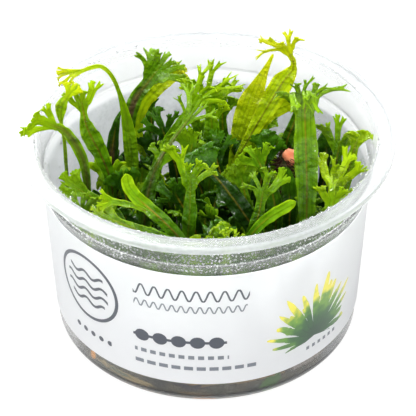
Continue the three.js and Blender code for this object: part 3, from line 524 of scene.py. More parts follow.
# The root mat: a wet cake of matted brown roots that fills the foot of the cup, with loose
# fibres pressed against the wall. The cake is spun and lumped, the fibres are thin tubes.
MAT_GAP = 0.00012
MAT_TOP = 0.0074
MAT_EDGE = wall_radius(FLOOR) - WALL - MAT_GAP
FIBRES = 150
FIBRE_STEPS = 14
FIBRE_THICKNESS = 0.0008
mat_bottom = FLOOR + MAT_GAP
outline = [(share * MAT_EDGE, mat_bottom) for share in (0, 0.3, 0.6, 0.85)]
outline += [(MAT_EDGE - 0.0014, mat_bottom + 0.00005)]
outline += [(MAT_EDGE - 0.0006, mat_bottom + 0.0004), (MAT_EDGE - 0.0002, mat_bottom + 0.0012)]
outline += [(MAT_EDGE, mat_bottom + 0.0026), (MAT_EDGE, MAT_TOP - 0.0022)]
outline += [(MAT_EDGE - 0.0006, MAT_TOP - 0.001), (MAT_EDGE - 0.003, MAT_TOP)]
outline += [(share * MAT_EDGE, MAT_TOP) for share in (0.85, 0.75, 0.65, 0.55, 0.45, 0.35, 0.25, 0.12, 0)]
root_mat = spun("matted_roots", outline, closed=False)
for corner in root_mat.data.vertices:
    spot = corner.co.copy()
    lump = noise.noise(spot * 260) + 0.5 * noise.noise(spot * 700 + Vector((3, 1, 2)))
    if spot.z > mat_bottom + 0.0005:
        corner.co.z += 0.0007 * lump
    corner.co.xy *= 1 - 0.004 * (1 + noise.noise(spot * 420 + Vector((7, 7, 7))))

material, wire, output = new_material("wet_roots")
place = wire.node("TexCoord", output=3)
patch = noise_at(place, 95, 5, Roughness=0.65)
fibre = noise_at(place, 520, 4, Distortion=1.6)
relief = wire.node("Bump", inputs={"Height": fibre + 0.6 * patch, "Strength": 0.8, "Distance": 0.0009})
finish_material(output, wire.node("BsdfPrincipled", inputs={
    "Base Color": root_tint(place),
    "Roughness": 0.28 + 0.35 * fibre,
    "Normal": relief,
}))
root_mat.data.materials.append(material)
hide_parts("root_mat")
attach(root_mat, "root")


def strands(name, paths, thickness, sides=2):
    """Thin round strands through lists of (place, share of the thickness), as one mesh."""
    curve = bpy.data.curves.new(name, "CURVE")
    curve.dimensions = "3D"
    curve.bevel_depth = 0.5 * thickness
    curve.bevel_resolution = sides - 1
    curve.use_fill_caps = True
    for path in paths:
        spline = curve.splines.new("POLY")
        spline.points.add(len(path) - 1)
        for point, (place, share) in zip(spline.points, path):
            point.co = (*place, 1)
            point.radius = share
    piece = bpy.data.objects.new(name, curve)
    bpy.context.collection.objects.link(piece)
    select_only(piece)
    bpy.ops.object.convert(target="MESH")
    bpy.ops.object.shade_smooth()
    return bpy.context.object


chance = random.Random(7)
paths = []
for _ in range(FIBRES):
    angle = chance.uniform(0, 2 * math.pi)
    height = chance.uniform(mat_bottom + 0.0006, MAT_TOP + 0.0006)
    climb = chance.uniform(-0.0006, 0.0007)
    turn = chance.choice((-1, 1)) * chance.uniform(0.02, 0.06)
    size = chance.uniform(0.35, 1.0)
    path = []
    for step in range(FIBRE_STEPS):
        inset = 0.0008 + 0.0006 * abs(noise.noise(Vector((angle * 9, height * 700, size))))
        angle += turn + 0.02 * noise.noise(Vector((step * 0.6, size * 30, 1)))
        height += climb + 0.0005 * noise.noise(Vector((size * 50, step * 0.7, 5)))
        height = min(max(height, mat_bottom + 0.0005), MAT_TOP + 0.0016)
        radius = wall_radius(height) - WALL - inset - (0.0012 if height < 0.0028 else 0)
        path.append((Vector((radius * math.cos(angle), radius * math.sin(angle), height)), size))
    paths.append(path)
root_fibres = strands("loose_root_fibres", paths, FIBRE_THICKNESS)
material, wire, output = new_material("root_fibre")
place = wire.node("TexCoord", output=3)
patch = noise_at(place, 60, 3)
tint = ramp(patch, [
    (0.36, (0.03, 0.022, 0.014)),
    (0.46, (0.17, 0.10, 0.045)),
    (0.54, (0.30, 0.19, 0.075)),
    (0.62, (0.08, 0.10, 0.03)),
    (0.72, (0.32, 0.29, 0.24)),
])
finish_material(output, wire.node("BsdfPrincipled", inputs={
    "Base Color": tint,
    "Roughness": 0.25 + 0.3 * patch,
}))
root_fibres.data.materials.append(material)
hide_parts("root_mat")
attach(root_fibres, "root")

# The fronds: forty-five leaves, each one piece with its stalk, blade, raised midrib and forked
# crest. A leaf is grown row by row as a skin, which then gets its thickness and is rounded.
# Sizes are in millimetres, and a midrib's points run from its foot on the rhizome to its crest.
MM = 0.001
FOOT_LEVEL = 12.64
ROOTED = 2.6
BLADE_COLUMNS = 10
ROW_STEP = 1.5
CREST_STEP = 0.9
FOOT_SHARE = 0.3
ARCH = 0.2
CREST_AGE = 0.56
PALM_AGE = 0.66
THINNEST = 0.45
RIB_THICKNESS = 0.95
LAMINA_SHARE = 0.3
RUFFLE = 0.15
EDGE_JAG = 0.05
CREST_JAG = 0.11

# A finger of a crest is its turn in degrees, its length, its lift in degrees and its share of
# the palm's edge. Where a leaf names no fingers, it takes them from the kind of its crest.
CRESTS = {
    "fan": {"palm": 0.5, "flare": 2.8, "fingers": 3, "spread": 34, "lift": 26, "droop": 4},
    "hand": {"palm": 0.42, "flare": 2.6, "fingers": 4, "spread": 48, "lift": 34, "droop": 8},
    "antler": {"palm": 0.34, "flare": 2.4, "fingers": 4, "spread": 60, "lift": 30, "droop": 0},
    "lace": {"palm": 0.26, "flare": 2.2, "fingers": 4, "spread": 42, "lift": 30, "droop": 4},
}

# What a leaf has where it says nothing else. Its blade widens from stalk to peak and narrows up
# to neck_at, all shares of the midrib, where it is neck times as wide. It turns to face one way
# at its foot and another at its crest, in degrees, and a shift moves its colours towards its tips'
# colours or back, partly for its own age and partly as painted light and shade: lighter where the
# leaf is lit, darker where it is shaded.
PLAIN = {
    "stalk": 0.1, "peak": 0.55, "neck": 0.45, "neck_at": 1, "turn": (0, 0), "crest": None, "size": 0,
    "palm": 0, "flare": 2, "fingers": (), "lobes": (), "tone": "mid", "rib": 0.5, "sun": 0, "stain": 0,
}
FRONDS = {
    "frond_left_arch": {
        "foot": (-19, 11),
        "points": [
            (-20.2, 12.5, 30), (-20.7, 13, 44), (-21.7, 12.5, 55), (-23.3, 11, 64.5), (-25.3, 10, 70.8),
            (-28.3, 9.8, 73.6), (-33.1, 9.4, 72.3),
        ],
        "width": 3.9, "peak": 0.28, "neck": 0.28, "neck_at": 0.6, "turn": (-10, 20),
        "palm": 2.4, "flare": 2.4,
        "fingers": ((58, 4.6, -26, 0.8), (30, 4.0, 14, 1), (6, 5, -20, 1.2), (-16, 3.4, 20, 1)),
        "tone": "yellow", "sun": 0.04, "rib": 0.2,
    },
    "frond_left_fan": {
        "foot": (-22, 4),
        "points": [
            (-25, 5, 28), (-26.3, 5, 40.3), (-28.6, 5, 48.4), (-30.6, 5, 53.5), (-32.1, 5, 58.2),
            (-32.6, 5, 62.4),
        ],
        "width": 5, "peak": 0.68, "neck": 0.36, "turn": (10, -5),
        "palm": 3, "flare": 2.3,
        "fingers": ((16, 4.6, 14, 0.8), (4, 5.2, -16, 0.9), (-8, 4.4, 16, 1), (-28, 7.2, -12, 1)),
        "tone": "bright", "rib": 0.8, "sun": 0.1,
    },
    "frond_left_bow": {
        "foot": (-26, -1),
        "points": [
            (-33, -2, 24), (-36.7, -2, 33), (-37.4, -1.5, 47), (-37.6, -1, 57.4), (-38.2, -1, 64),
            (-37.8, -1, 68.6), (-36, -1, 71.6),
        ],
        "width": 3.1, "stalk": 0.68, "peak": 0.84, "neck": 0.45, "turn": (20, 0),
        "palm": 1.2, "flare": 1.7, "fingers": ((40, 2, 10, 1), (8, 2.4, -14, 1), (-26, 2.6, 16, 1)),
        "tone": "yellow", "sun": -0.08, "rib": 0.3,
    },
    "frond_left_over": {
        "foot": (-30, -6),
        "points": [
            (-31, -6, 32), (-31.6, -6, 44), (-32.4, -6, 54.2), (-34.8, -6, 60.8), (-37.2, -6.4, 64.6),
            (-39.4, -7, 66.2),
        ],
        "width": 2.8, "peak": 0.6, "neck": 0.75, "turn": (10, -10),
        "palm": 1.8, "flare": 2.2,
        "fingers": ((50, 5.4, -24, 1.2), (2, 6.2, 26, 2.2), (-38, 4.2, 20, 1)),
        "tone": "bright", "sun": 0.16, "rib": 0.4, "stain": 0.6,
    },
    "frond_left_low": {
        "foot": (-19, -13),
        "points": [(-20, -13, 28), (-23.5, -12, 39), (-28, -11, 44), (-32, -10, 46.5)],
        "width": 4, "peak": 0.6, "neck": 0.55, "palm": 2.6, "flare": 2.2,
        "fingers": ((30, 3.4, 20, 1), (6, 4, -16, 1), (-24, 3, 14, 1)),
        "tone": "mid", "sun": 0.1, "rib": 0.5,
    },
    "frond_left_dark": {
        "foot": (-24, 17),
        "points": [(-27, 17, 28), (-26.5, 17.5, 38), (-25, 18, 48), (-23.5, 18.5, 53)],
        "width": 3.4, "peak": 0.55, "neck": 0.25, "turn": (10, 20), "tone": "dark", "stain": 1,
    },
    "frond_left_edge": {
        "foot": (-27, -14),
        "points": [(-30, -16, 28), (-31, -17, 38), (-32, -17.5, 44)],
        "width": 3.6, "turn": (-20, 0), "crest": "hand", "size": 8, "tone": "mid",
    },
    "frond_front_left_bright": {
        "foot": (-2, -23),
        "points": [
            (-2, -26, 28), (-3.5, -27, 38), (-7.4, -26.6, 45.1), (-10.9, -26, 49.4), (-14.6, -25, 53),
            (-17.9, -23.6, 55.6), (-19.9, -22.2, 58), (-20.6, -21.5, 61.2),
        ],
        "width": 3.5, "peak": 0.5, "neck": 0.9, "turn": (-10, 10), "tone": "bright", "rib": 0.9, "sun": -0.1,
        "lobes": ({"at": 0.6, "side": -1, "length": 14, "width": 1.8, "turn": 36},),
    },
    "frond_front_left_low": {
        "foot": (-10, -25),
        "points": [
            (-8.5, -30, 30), (-7.5, -32, 42), (-10.5, -32, 47.5), (-16, -30.5, 49.5), (-22.5, -27.5, 50.5),
        ],
        "width": 4.2, "peak": 0.7, "neck": 0.55, "turn": (-10, 0), "palm": 2.2, "flare": 2,
        "fingers": ((26, 4.2, 14, 1), (4, 5.4, -16, 1), (-28, 3.6, 18, 1)),
        "tone": "bright", "sun": 0.02, "rib": 0.5,
    },
    "frond_front_left_inner": {
        "foot": (-16, -20),
        "points": [(-17.5, -22, 28), (-20, -23.5, 39), (-24, -24, 45)],
        "width": 4, "turn": (-10, 0), "crest": "hand", "size": 7, "tone": "mid",
    },
    "frond_front_peek_left": {
        "foot": (-2, -30),
        "points": [(-2.5, -33, 28), (-3.3, -34.5, 40), (-3.6, -34.5, 46)],
        "width": 2.2, "crest": "fan", "size": 2.8, "tone": "bright", "sun": 0.1,
    },
    "frond_front_centre": {
        "foot": (-6, -17),
        "points": [(-6, -18, 26), (-5, -18, 38), (-4.4, -17.8, 46.5), (-4.2, -17.2, 53)],
        "width": 3.8, "peak": 0.7, "neck": 0.66, "turn": (0, -20),
        "palm": 3.4, "flare": 1.9,
        "fingers": ((14, 8.6, -12, 1.5), (-10, 5.6, 22, 1), (-32, 8, 8, 1.3), (-56, 7.4, -16, 1)),
        "tone": "bright", "sun": -0.1, "rib": 0.3,
    },
    "frond_centre_low": {
        "foot": (-2, -9),
        "points": [(-2, -9, 26), (-4, -9, 36), (-7, -9.5, 43)],
        "width": 4.5, "turn": (25, 10), "crest": "hand", "size": 7, "tone": "dark",
    },
    "frond_centre_inner": {
        "foot": (-6, 1),
        "points": [(-6.5, 1, 26), (-6, 2, 38), (-4.5, 3, 48)],
        "width": 4.5, "turn": (-30, -10), "crest": "fan", "size": 8, "tone": "mid", "rib": 0.8,
    },
    "frond_left_mid": {
        "foot": (-17, -3),
        "points": [(-17.5, -3.5, 26), (-17, -3, 37), (-14.5, -1.5, 45), (-12.5, -0.5, 49)],
        "width": 4, "turn": (30, 20), "crest": "antler", "size": 6, "tone": "mid",
    },
    "frond_left_cross": {
        "foot": (-15, -11),
        "points": [
            (-16.6, -10.5, 28), (-16.5, -10, 39), (-15, -9, 48.5), (-12.6, -8, 55.4), (-9, -6, 60.5),
            (-5.8, -5, 65),
        ],
        "width": 4, "peak": 0.42, "neck": 0.3, "neck_at": 0.7, "turn": (10, 10),
        "palm": 2.4, "flare": 2.8,
        "fingers": (
            (62, 7, 24, 0.8), (34, 8, -24, 1), (10, 9.5, 26, 1), (-14, 6, -28, 0.8), (-38, 6.5, 20, 1),
        ),
        "tone": "mid", "sun": 0.12, "stain": 0.4,
    },
    "frond_back_left_small": {
        "foot": (-14, 28),
        "points": [(-15, 30, 24), (-15.5, 30.5, 33), (-15.5, 30.5, 41)],
        "width": 3.2, "crest": "fan", "size": 6, "tone": "dark", "sun": 0.12,
    },
    "frond_back_left_tall": {
        "foot": (-15, 20),
        "points": [
            (-18.5, 20.5, 28), (-20.6, 21, 38), (-21.5, 21, 47), (-19.5, 22, 54.5), (-15.8, 22.5, 60),
        ],
        "width": 3.8, "peak": 0.7, "neck": 0.85, "turn": (10, 0),
        "palm": 5, "flare": 2.5,
        "fingers": (
            (84, 4, 24, 0.7), (40, 4, -24, 1), (22, 5, 18, 1), (4, 4, -18, 1.1), (-16, 5, 22, 1),
            (-38, 5, -20, 1), (-66, 4.4, 12, 1),
        ),
        "tone": "mid", "sun": 0.05, "rib": 0.5, "stain": 1,
    },
    "frond_back_left_pale": {
        "foot": (-8, 23),
        "points": [(-16, 25.5, 27), (-19, 26.5, 38), (-18, 27, 48), (-13.3, 27.5, 54.8), (-9, 28, 58.2)],
        "width": 3.9, "peak": 0.8, "neck": 0.85,
        "palm": 1.4, "flare": 1.15, "fingers": ((18, 1.4, 8, 1), (0, 1.7, -8, 1), (-16, 1.2, 8, 1)),
        "tone": "yellow", "sun": 0.18, "rib": 0,
    },
    "frond_back_lobed": {
        "foot": (2, 22),
        "points": [(3.5, 24, 26), (4.5, 25, 37), (4.5, 25.5, 46)],
        "width": 4.6, "crest": "fan", "size": 8, "tone": "mid",
    },
    "frond_centre_lace": {
        "foot": (-12, 6),
        "points": [(-15, 7, 26), (-14.5, 8, 38), (-11, 8, 49), (-7.5, 8, 56), (-4.5, 8, 61)],
        "width": 3, "peak": 0.5, "neck": 0.6,
        "palm": 4, "flare": 2.6,
        "fingers": (
            (44, 7, 24, 0.9), (18, 10, -22, 1), (-6, 9, 28, 1), (-28, 11, -16, 1.1), (-54, 8, 22, 0.9),
        ),
        "tone": "bright", "sun": 0.04, "rib": 0.1,
    },
    "frond_centre_dark": {
        "foot": (-7, 13),
        "points": [(-7.5, 13.5, 26), (-8.5, 14, 37), (-11, 14.5, 46)],
        "width": 4.2, "turn": (-20, 0), "palm": 3, "flare": 2.2,
        "fingers": ((46, 5, 12, 1.2), (12, 5.5, -14, 1.2), (-34, 5, 10, 1)), "tone": "dark",
    },
    "frond_centre_lobed": {
        "foot": (0, 12),
        "points": [(0.4, 13, 26.4), (1.3, 14, 40), (1.5, 15, 50), (1, 15, 56)],
        "width": 4.8, "peak": 0.6, "neck": 0.5, "palm": 4, "flare": 2.6,
        "fingers": (
            (38, 7, -24, 0.9), (8, 9, 22, 1.1), (-20, 10.5, -20, 1.1), (-44, 9.5, 26, 1), (-72, 7, -12, 0.9),
        ),
        "tone": "bright", "sun": 0.02, "rib": 0.3,
        "lobes": ({"at": 0.8, "side": 1, "length": 6.5, "width": 1.9, "turn": 35},),
    },
    "frond_tall_lance": {
        "foot": (7, 15),
        "points": [
            (7, 17, 27), (8.2, 17.5, 38.4), (10, 18.2, 47), (12, 19, 54.2), (14.4, 20, 61), (18, 21, 69.6),
        ],
        "width": 7, "peak": 0.66, "neck": 0.12, "turn": (0, -8), "tone": "yellow", "sun": 0.1, "rib": 0.1,
    },
    "frond_tall_crested": {
        "foot": (6, 8),
        "points": [
            (5.5, 9.5, 26), (7.4, 10.5, 39), (11, 11.5, 47.5), (14.6, 12.5, 54.5), (17.8, 13, 60.7),
            (20.6, 13.5, 66), (22.9, 13.5, 69.6), (23.2, 13, 72.6), (22.2, 12.5, 75),
        ],
        "width": 5.8, "stalk": 0.2, "peak": 0.64, "neck": 0.26, "neck_at": 0.86, "turn": (0, -8),
        "palm": 2.6, "flare": 3.2,
        "fingers": (
            (66, 6.4, 22, 0.8), (40, 6, -20, 1), (10, 4.4, 26, 1), (-18, 4.6, -24, 1), (-46, 4.4, 18, 1),
        ),
        "tone": "yellow", "sun": 0.26, "rib": 0.7,
    },
    "frond_centre_right_dark": {
        "foot": (5, 1),
        "points": [(5.5, 2, 26), (5, 3, 37), (3, 4, 46)],
        "width": 4.6, "turn": (20, 0), "crest": "hand", "size": 8, "tone": "dark",
    },
    "frond_centre_right_small": {
        "foot": (11, -5),
        "points": [(11.5, -4.5, 25), (11.5, -3.5, 34), (10, -2.5, 42)],
        "width": 4.2, "turn": (-20, 0), "crest": "fan", "size": 7, "tone": "mid",
    },
    "frond_right_inner": {
        "foot": (13, 3),
        "points": [(13.5, 4, 26), (14.5, 5, 36), (16, 6, 45)],
        "width": 4.4, "turn": (-20, 0), "crest": "fan", "size": 7, "tone": "dark",
    },
    "frond_side_blade": {
        "foot": (14, 15),
        "points": [(13.5, 17, 27), (13.4, 17, 39), (14.2, 17, 47.5), (16.8, 17, 53.2), (21.6, 16.5, 56.2)],
        "width": 4.6, "peak": 0.8, "neck": 0.85,
        "palm": 1.4, "flare": 1.15, "fingers": ((20, 1.6, 8, 1), (0, 2, -8, 1), (-20, 1.5, 8, 1)),
        "tone": "yellow", "sun": 0.1, "rib": 0.1,
    },
    "frond_back_right_stem": {
        "foot": (19, 12),
        "points": [(20.5, 13, 26), (21, 13, 37), (22, 12.5, 47), (24, 11.5, 55), (24.5, 10.5, 60)],
        "width": 3.2, "peak": 0.6, "neck": 0.55, "crest": "lace", "size": 8, "tone": "mid",
    },
    "frond_right_tall": {
        "foot": (26, -13),
        "points": [(26.5, -14, 27), (26.5, -12.5, 38), (26.4, -10, 49), (26, -7, 59), (25.6, -4.6, 68.5)],
        "width": 6.2, "peak": 0.78, "neck": 0.8,
        "palm": 4, "flare": 1.5,
        "fingers": (
            (64, 7.5, 50, 0.9), (32, 8.5, 135, 1.1), (14, 7, 60, 1), (-2, 8.5, 145, 1), (-18, 7, 110, 1),
            (-34, 8, 140, 1), (-52, 6.5, 30, 0.9), (-84, 9.5, 14, 0.8),
        ),
        "tone": "mid", "sun": 0.24, "rib": 0.7,
    },
    "frond_right_round": {
        "foot": (23, -3),
        "points": [(22.5, -2.5, 25), (22.5, -0.5, 36), (21.5, 1.5, 46)],
        "width": 4.6, "peak": 0.7, "neck": 0.7, "turn": (10, 10), "tone": "dark", "sun": 0.1,
    },
    "frond_right_bush": {
        "foot": (30, 3),
        "points": [(33.5, 5, 26), (34.8, 5.6, 37), (35, 5.8, 43.5), (35.5, 6, 47.5)],
        "width": 4.2, "neck": 0.6, "palm": 3, "flare": 2.2,
        "fingers": ((26, 8, 18, 1), (2, 7.5, -20, 1), (-24, 7, 24, 1.2), (-52, 3.6, -10, 0.9)),
        "tone": "mid", "sun": 0.06,
    },
    "frond_right_edge": {
        "foot": (32, -2),
        "points": [(35.5, -1, 27), (37.3, 0.6, 38), (38.4, 1.4, 46.4), (39.6, 1.6, 53)],
        "width": 3, "peak": 0.8, "neck": 0.7, "turn": (-25, -10), "palm": 1.8, "flare": 1.6,
        "fingers": ((18, 2.6, 20, 1), (-18, 2.8, -20, 1)), "tone": "bright", "sun": 0.2,
    },
    "frond_right_dark": {
        "foot": (28, 12),
        "points": [(31, 13, 26), (33, 12, 37), (32.6, 11, 46.5), (31.8, 11, 51)],
        "width": 4.6, "peak": 0.75, "neck": 0.75, "tone": "dark",
    },
    "frond_back_right_small": {
        "foot": (23, 19),
        "points": [(24.5, 22, 24), (25, 24, 33), (25, 25, 40)],
        "width": 4, "peak": 0.7, "neck": 0.5, "tone": "dark",
    },
    "frond_back_right_low": {
        "foot": (13, 25),
        "points": [(13.5, 27, 24), (14, 28, 32), (15, 28.5, 38)],
        "width": 4, "crest": "hand", "size": 6, "tone": "mid",
    },
    "frond_right_wavy": {
        "foot": (30, -9),
        "points": [(32.2, -10, 27), (33, -10, 38), (33.4, -9.6, 43), (33.8, -9.4, 47)],
        "width": 4.2, "neck": 0.7, "palm": 2.8, "flare": 2.1,
        "fingers": ((24, 6.2, -30, 1.1), (-6, 7.6, 34, 1), (-22, 7.8, -26, 1), (-36, 7.4, 32, 1.1)),
        "tone": "bright", "sun": 0.2, "rib": 0.2,
    },
    "frond_right_fan": {
        "foot": (25, -21),
        "points": [(28, -20.5, 27), (30.5, -19.8, 37), (32, -18.8, 43.4), (32.6, -18.2, 47)],
        "width": 4, "peak": 0.6, "neck": 0.6, "palm": 2.6, "flare": 2,
        "fingers": ((34, 5, 26, 1), (6, 5.4, -26, 1), (-22, 4.6, 28, 1), (-50, 4.4, -10, 1)),
        "tone": "bright", "sun": 0.04,
    },
    "frond_front_right_inner": {
        "foot": (17, -27),
        "points": [(18.5, -28, 26), (19.5, -29, 35), (20, -29.5, 41)],
        "width": 4.2, "crest": "hand", "size": 6, "tone": "dark",
    },
    "frond_front_peek_right": {
        "foot": (6, -31),
        "points": [(5.5, -33, 27), (5, -34, 40), (5, -34, 47)],
        "width": 2.6, "neck": 0.6, "palm": 1.6, "flare": 1.9,
        "fingers": ((28, 2.4, 10, 1), (2, 4.4, -8, 1.2), (-34, 4, 10, 1)), "tone": "bright", "sun": 0.1,
    },
    "frond_front_right_wide": {
        "foot": (10, -24),
        "points": [
            (8.5, -24.5, 28), (9, -24.5, 38), (12, -24.3, 44.4), (15.6, -23.5, 48.4), (19.4, -22.4, 50.6),
            (22.8, -21.2, 52),
        ],
        "width": 3, "peak": 0.78, "neck": 0.9, "turn": (-20, 0), "tone": "bright", "rib": 0.4, "sun": -0.16,
    },
    "frond_front_right_crest": {
        "foot": (11, -16),
        "points": [(11, -17, 26), (12, -17.4, 36), (13.4, -17.2, 43.6), (14.2, -17, 49)],
        "width": 4, "neck": 0.6, "turn": (-10, 0), "palm": 3, "flare": 1.8,
        "fingers": ((84, 4.6, 26, 0.8), (42, 5, -16, 1), (-2, 8, 24, 1.3), (-40, 6.6, -20, 1.2)),
        "tone": "mid", "sun": 0.04,
    },
    "frond_front_cross": {
        "foot": (17, -12),
        "points": [(15.5, -12, 26), (13, -12, 35), (9, -11, 42), (5, -10, 48), (1.5, -9, 52.5)],
        "width": 5.4, "peak": 0.6, "neck": 0.45, "turn": (-10, 0), "crest": "fan", "size": 5,
        "tone": "dark", "sun": 0.08,
    },
    "frond_right_cross": {
        "foot": (18, -6),
        "points": [(18.5, -6.5, 26), (18.5, -6, 37), (17, -5, 45), (14.5, -4.5, 51)],
        "width": 4.2, "turn": (10, 0), "crest": "hand", "size": 6, "tone": "mid",
    },
}


def wobble(seed):
    """A number from -1 to 1 that is always the same for the same seed."""
    wave = math.sin(seed * 12.9898) * 43758.5453
    return 2 * (wave - math.floor(wave)) - 1


def smooth(share):
    share = min(max(share, 0), 1)
    return share * share * (3 - 2 * share)


class Shoot:
    """One place on a growing leaf: where it is, which way it grows and which way it faces."""

    def __init__(self, centre, forward, face):
        self.centre = centre
        self.forward = forward.normalized()
        self.face = (face - self.forward * face.dot(self.forward)).normalized()
        self.side = self.forward.cross(self.face)

    def grown(self, length, turn, lift):
        bend = Matrix.Rotation(lift, 3, self.side)
        forward = bend @ Matrix.Rotation(turn, 3, self.face) @ self.forward
        return Shoot(self.centre + forward * length, forward, bend @ self.face)

    def moved(self, along, aside):
        return Shoot(self.centre + self.forward * along + self.side * aside, self.forward, self.face)

    def across(self, left, right):
        """A shoot in the middle of the edge from left to right, and how far it is turned from this one."""
        forward = self.face.cross(right - left)
        turned = math.atan2(self.forward.cross(forward).dot(self.face), self.forward.dot(forward))
        return Shoot((left + right) / 2, forward, self.face), turned


class Lamina:
    """A leaf's skin: rows of corners from edge to edge with their marks, and the faces between."""

    def __init__(self, seed):
        self.seed = seed
        self.corners = []
        self.faces = []
        self.marks = {"across": [], "edge": [], "along": [], "age": [], "ridge": []}

    def corner(self, place, **marks):
        self.corners.append(place)
        for mark, value in marks.items():
            self.marks[mark].append(value)
        return len(self.corners) - 1

    def row(self, shoot, width, columns, along, age, rib=1.0, ruffle=0.0, arch=0.0, jag=EDGE_JAG):
        """Corners across the leaf at one shoot. The edges wave in and out and ruffle."""
        made = []
        for k in range(columns + 1):
            across = 2 * k / columns - 1 if columns else 0
            edge = abs(across)
            phase = self.seed * 0.37 + (1.9 if across < 0 else 4.3)
            tooth = math.sin(0.9 * along + phase) + 0.7 * math.sin(2.3 * along + 3 * phase)
            wander = jag * edge ** 3 * tooth
            slow = math.sin(0.8 * along + 5 * phase) + 0.5 * math.sin(1.9 * along + phase)
            rise = ruffle * (edge ** 1.6 * slow + 0.4 * edge * math.sin(2.6 * along + 2 * phase))
            fold = width * (0.10 * edge ** 2 * math.sin(0.11 * along + 2 * self.seed) + 0.05 * edge)
            place = shoot.centre + shoot.side * (0.5 * width * (across + math.copysign(wander, across)))
            place = place + shoot.face * (rise + fold) + shoot.forward * (arch * width * (1 - edge ** 2))
            ridge = rib * max(0.0, 1 - 1.2 * abs(k - 0.5 * columns))
            made.append(self.corner(
                place, across=0.5 * width * across, edge=edge, along=along, age=age, ridge=ridge))
        return made

    def join(self, lower, upper):
        """Faces between two rows. The upper one may have more columns, a whole number of times."""
        finer = (len(upper) - 1) // (len(lower) - 1)
        for k in range(len(lower) - 1):
            above = upper[k * finer: (k + 1) * finer + 1]
            self.faces.append((lower[k], lower[k + 1], *reversed(above)))

    def close(self, last, shoot, reach, along, age):
        """Brings the last row to a rounded point."""
        place = shoot.centre + shoot.forward * reach
        tip = self.corner(place, across=0, edge=0, along=along, age=age, ridge=0)
        for k in range(len(last) - 1):
            self.faces.append((last[k], last[k + 1], tip))


def facing(turn):
    return Vector((math.sin(math.radians(turn)), -math.cos(math.radians(turn)), 0.4))


def midrib_points(shape):
    return [Vector((*shape["foot"], FOOT_LEVEL)), *(Vector(point) for point in shape["points"])]


def midrib_place(points, share):
    """A place on the smooth curve through the midrib's points."""
    spot = share * (len(points) - 1)
    i = min(int(spot), len(points) - 2)
    w = spot - i
    start, end = points[i], points[i + 1]
    before = points[i - 1] if i > 0 else 2 * start - end
    after = points[i + 2] if i + 2 < len(points) else 2 * end - start
    leaving = 0.5 * (end - before)
    arriving = 0.5 * (after - start)
    bend = 3 * (end - start) - 2 * leaving - arriving
    ease = 2 * (start - end) + leaving + arriving
    return start + leaving * w + bend * w ** 2 + ease * w ** 3


def midrib_shoot(shape, points, share):
    ahead = midrib_place(points, min(share + 0.0001, 1))
    behind = midrib_place(points, max(share - 0.0001, 0))
    face = facing(mix(shape["turn"][0], shape["turn"][1], share))
    return Shoot(midrib_place(points, share), ahead - behind, face)


def blade_width(shape, share):
    swelling = mix(FOOT_SHARE, 1, smooth((share - shape["stalk"]) / (shape["peak"] - shape["stalk"])))
    narrowing = mix(1, shape["neck"], smooth((share - shape["peak"]) / (shape["neck_at"] - shape["peak"])))
    return shape["width"] * swelling * narrowing


def grow_blade(lamina, shape, columns):
    """Grows the blade from the rhizome to its neck. Returns its last row, shoot and length."""
    points = midrib_points(shape)
    length = sum((b - a).length for a, b in zip(points, points[1:]))
    rows = round(length / ROW_STEP)
    crested = shape["crest"] or shape["fingers"]
    blunt = not crested and shape["neck"] > 0.2
    shoot = midrib_shoot(shape, points, 0)
    last = lamina.row(shoot.moved(-ROOTED, 0), 0.7 * blade_width(shape, 0), columns, -ROOTED, 0)
    for i in range(rows + 1):
        share = i / rows
        shoot = midrib_shoot(shape, points, share)
        width = blade_width(shape, share)
        if blunt:
            rounding = 1.1 * width / length
            width *= math.sqrt(max(1 - (max(share - 1 + rounding, 0) / rounding) ** 2, 0.16))
        ruffle = RUFFLE * width * smooth(2 * share)
        age = (CREST_AGE if crested else 0.9) * share
        upper = lamina.row(shoot, width, columns, share * length, age, 1 - 0.35 * share, ruffle)
        lamina.join(last, upper)
        last = upper
    return last, shoot, width, length


def grow_stretch(lamina, row, shoot, widths, reach, turn, lift, along, ages, rib, arch=0.0, finer=1):
    """Grows a stretch of a crest that turns and lifts evenly. Returns its last row and shoot."""
    steps = max(2, round(reach / CREST_STEP))
    columns = finer * (len(row) - 1)
    done = 0
    for i in range(1, steps + 1):
        share = i / steps
        bent = 0.25 + 0.75 * share
        shoot = shoot.grown(reach / steps, turn * (bent - done), lift * (bent - done))
        done = bent
        width = mix(widths[0], widths[1], share)
        age = mix(ages[0], ages[1], share)
        arched = arch if i == steps else 0
        ruffle = RUFFLE * width
        upper = lamina.row(shoot, width, columns, along + reach * share, age, rib, ruffle, arched, CREST_JAG)
        lamina.join(row, upper)
        row = upper
    return row, shoot


def part_row(lamina, row, shoot, shares):
    """Parts a row among fingers. Gives each one's part, its shoot, and how far that is turned."""
    columns = len(row) - 1
    total = sum(shares)
    start = 0
    passed = 0
    parts = []
    for number, share in enumerate(shares, start=1):
        passed += share
        room = columns - (len(shares) - number)
        end = min(max(round(columns * passed / total), start + 1), room)
        part = row[start: end + 1]
        begun, turned = shoot.across(lamina.corners[part[0]], lamina.corners[part[-1]])
        parts.append((part, begun, turned))
        start = end
    return parts


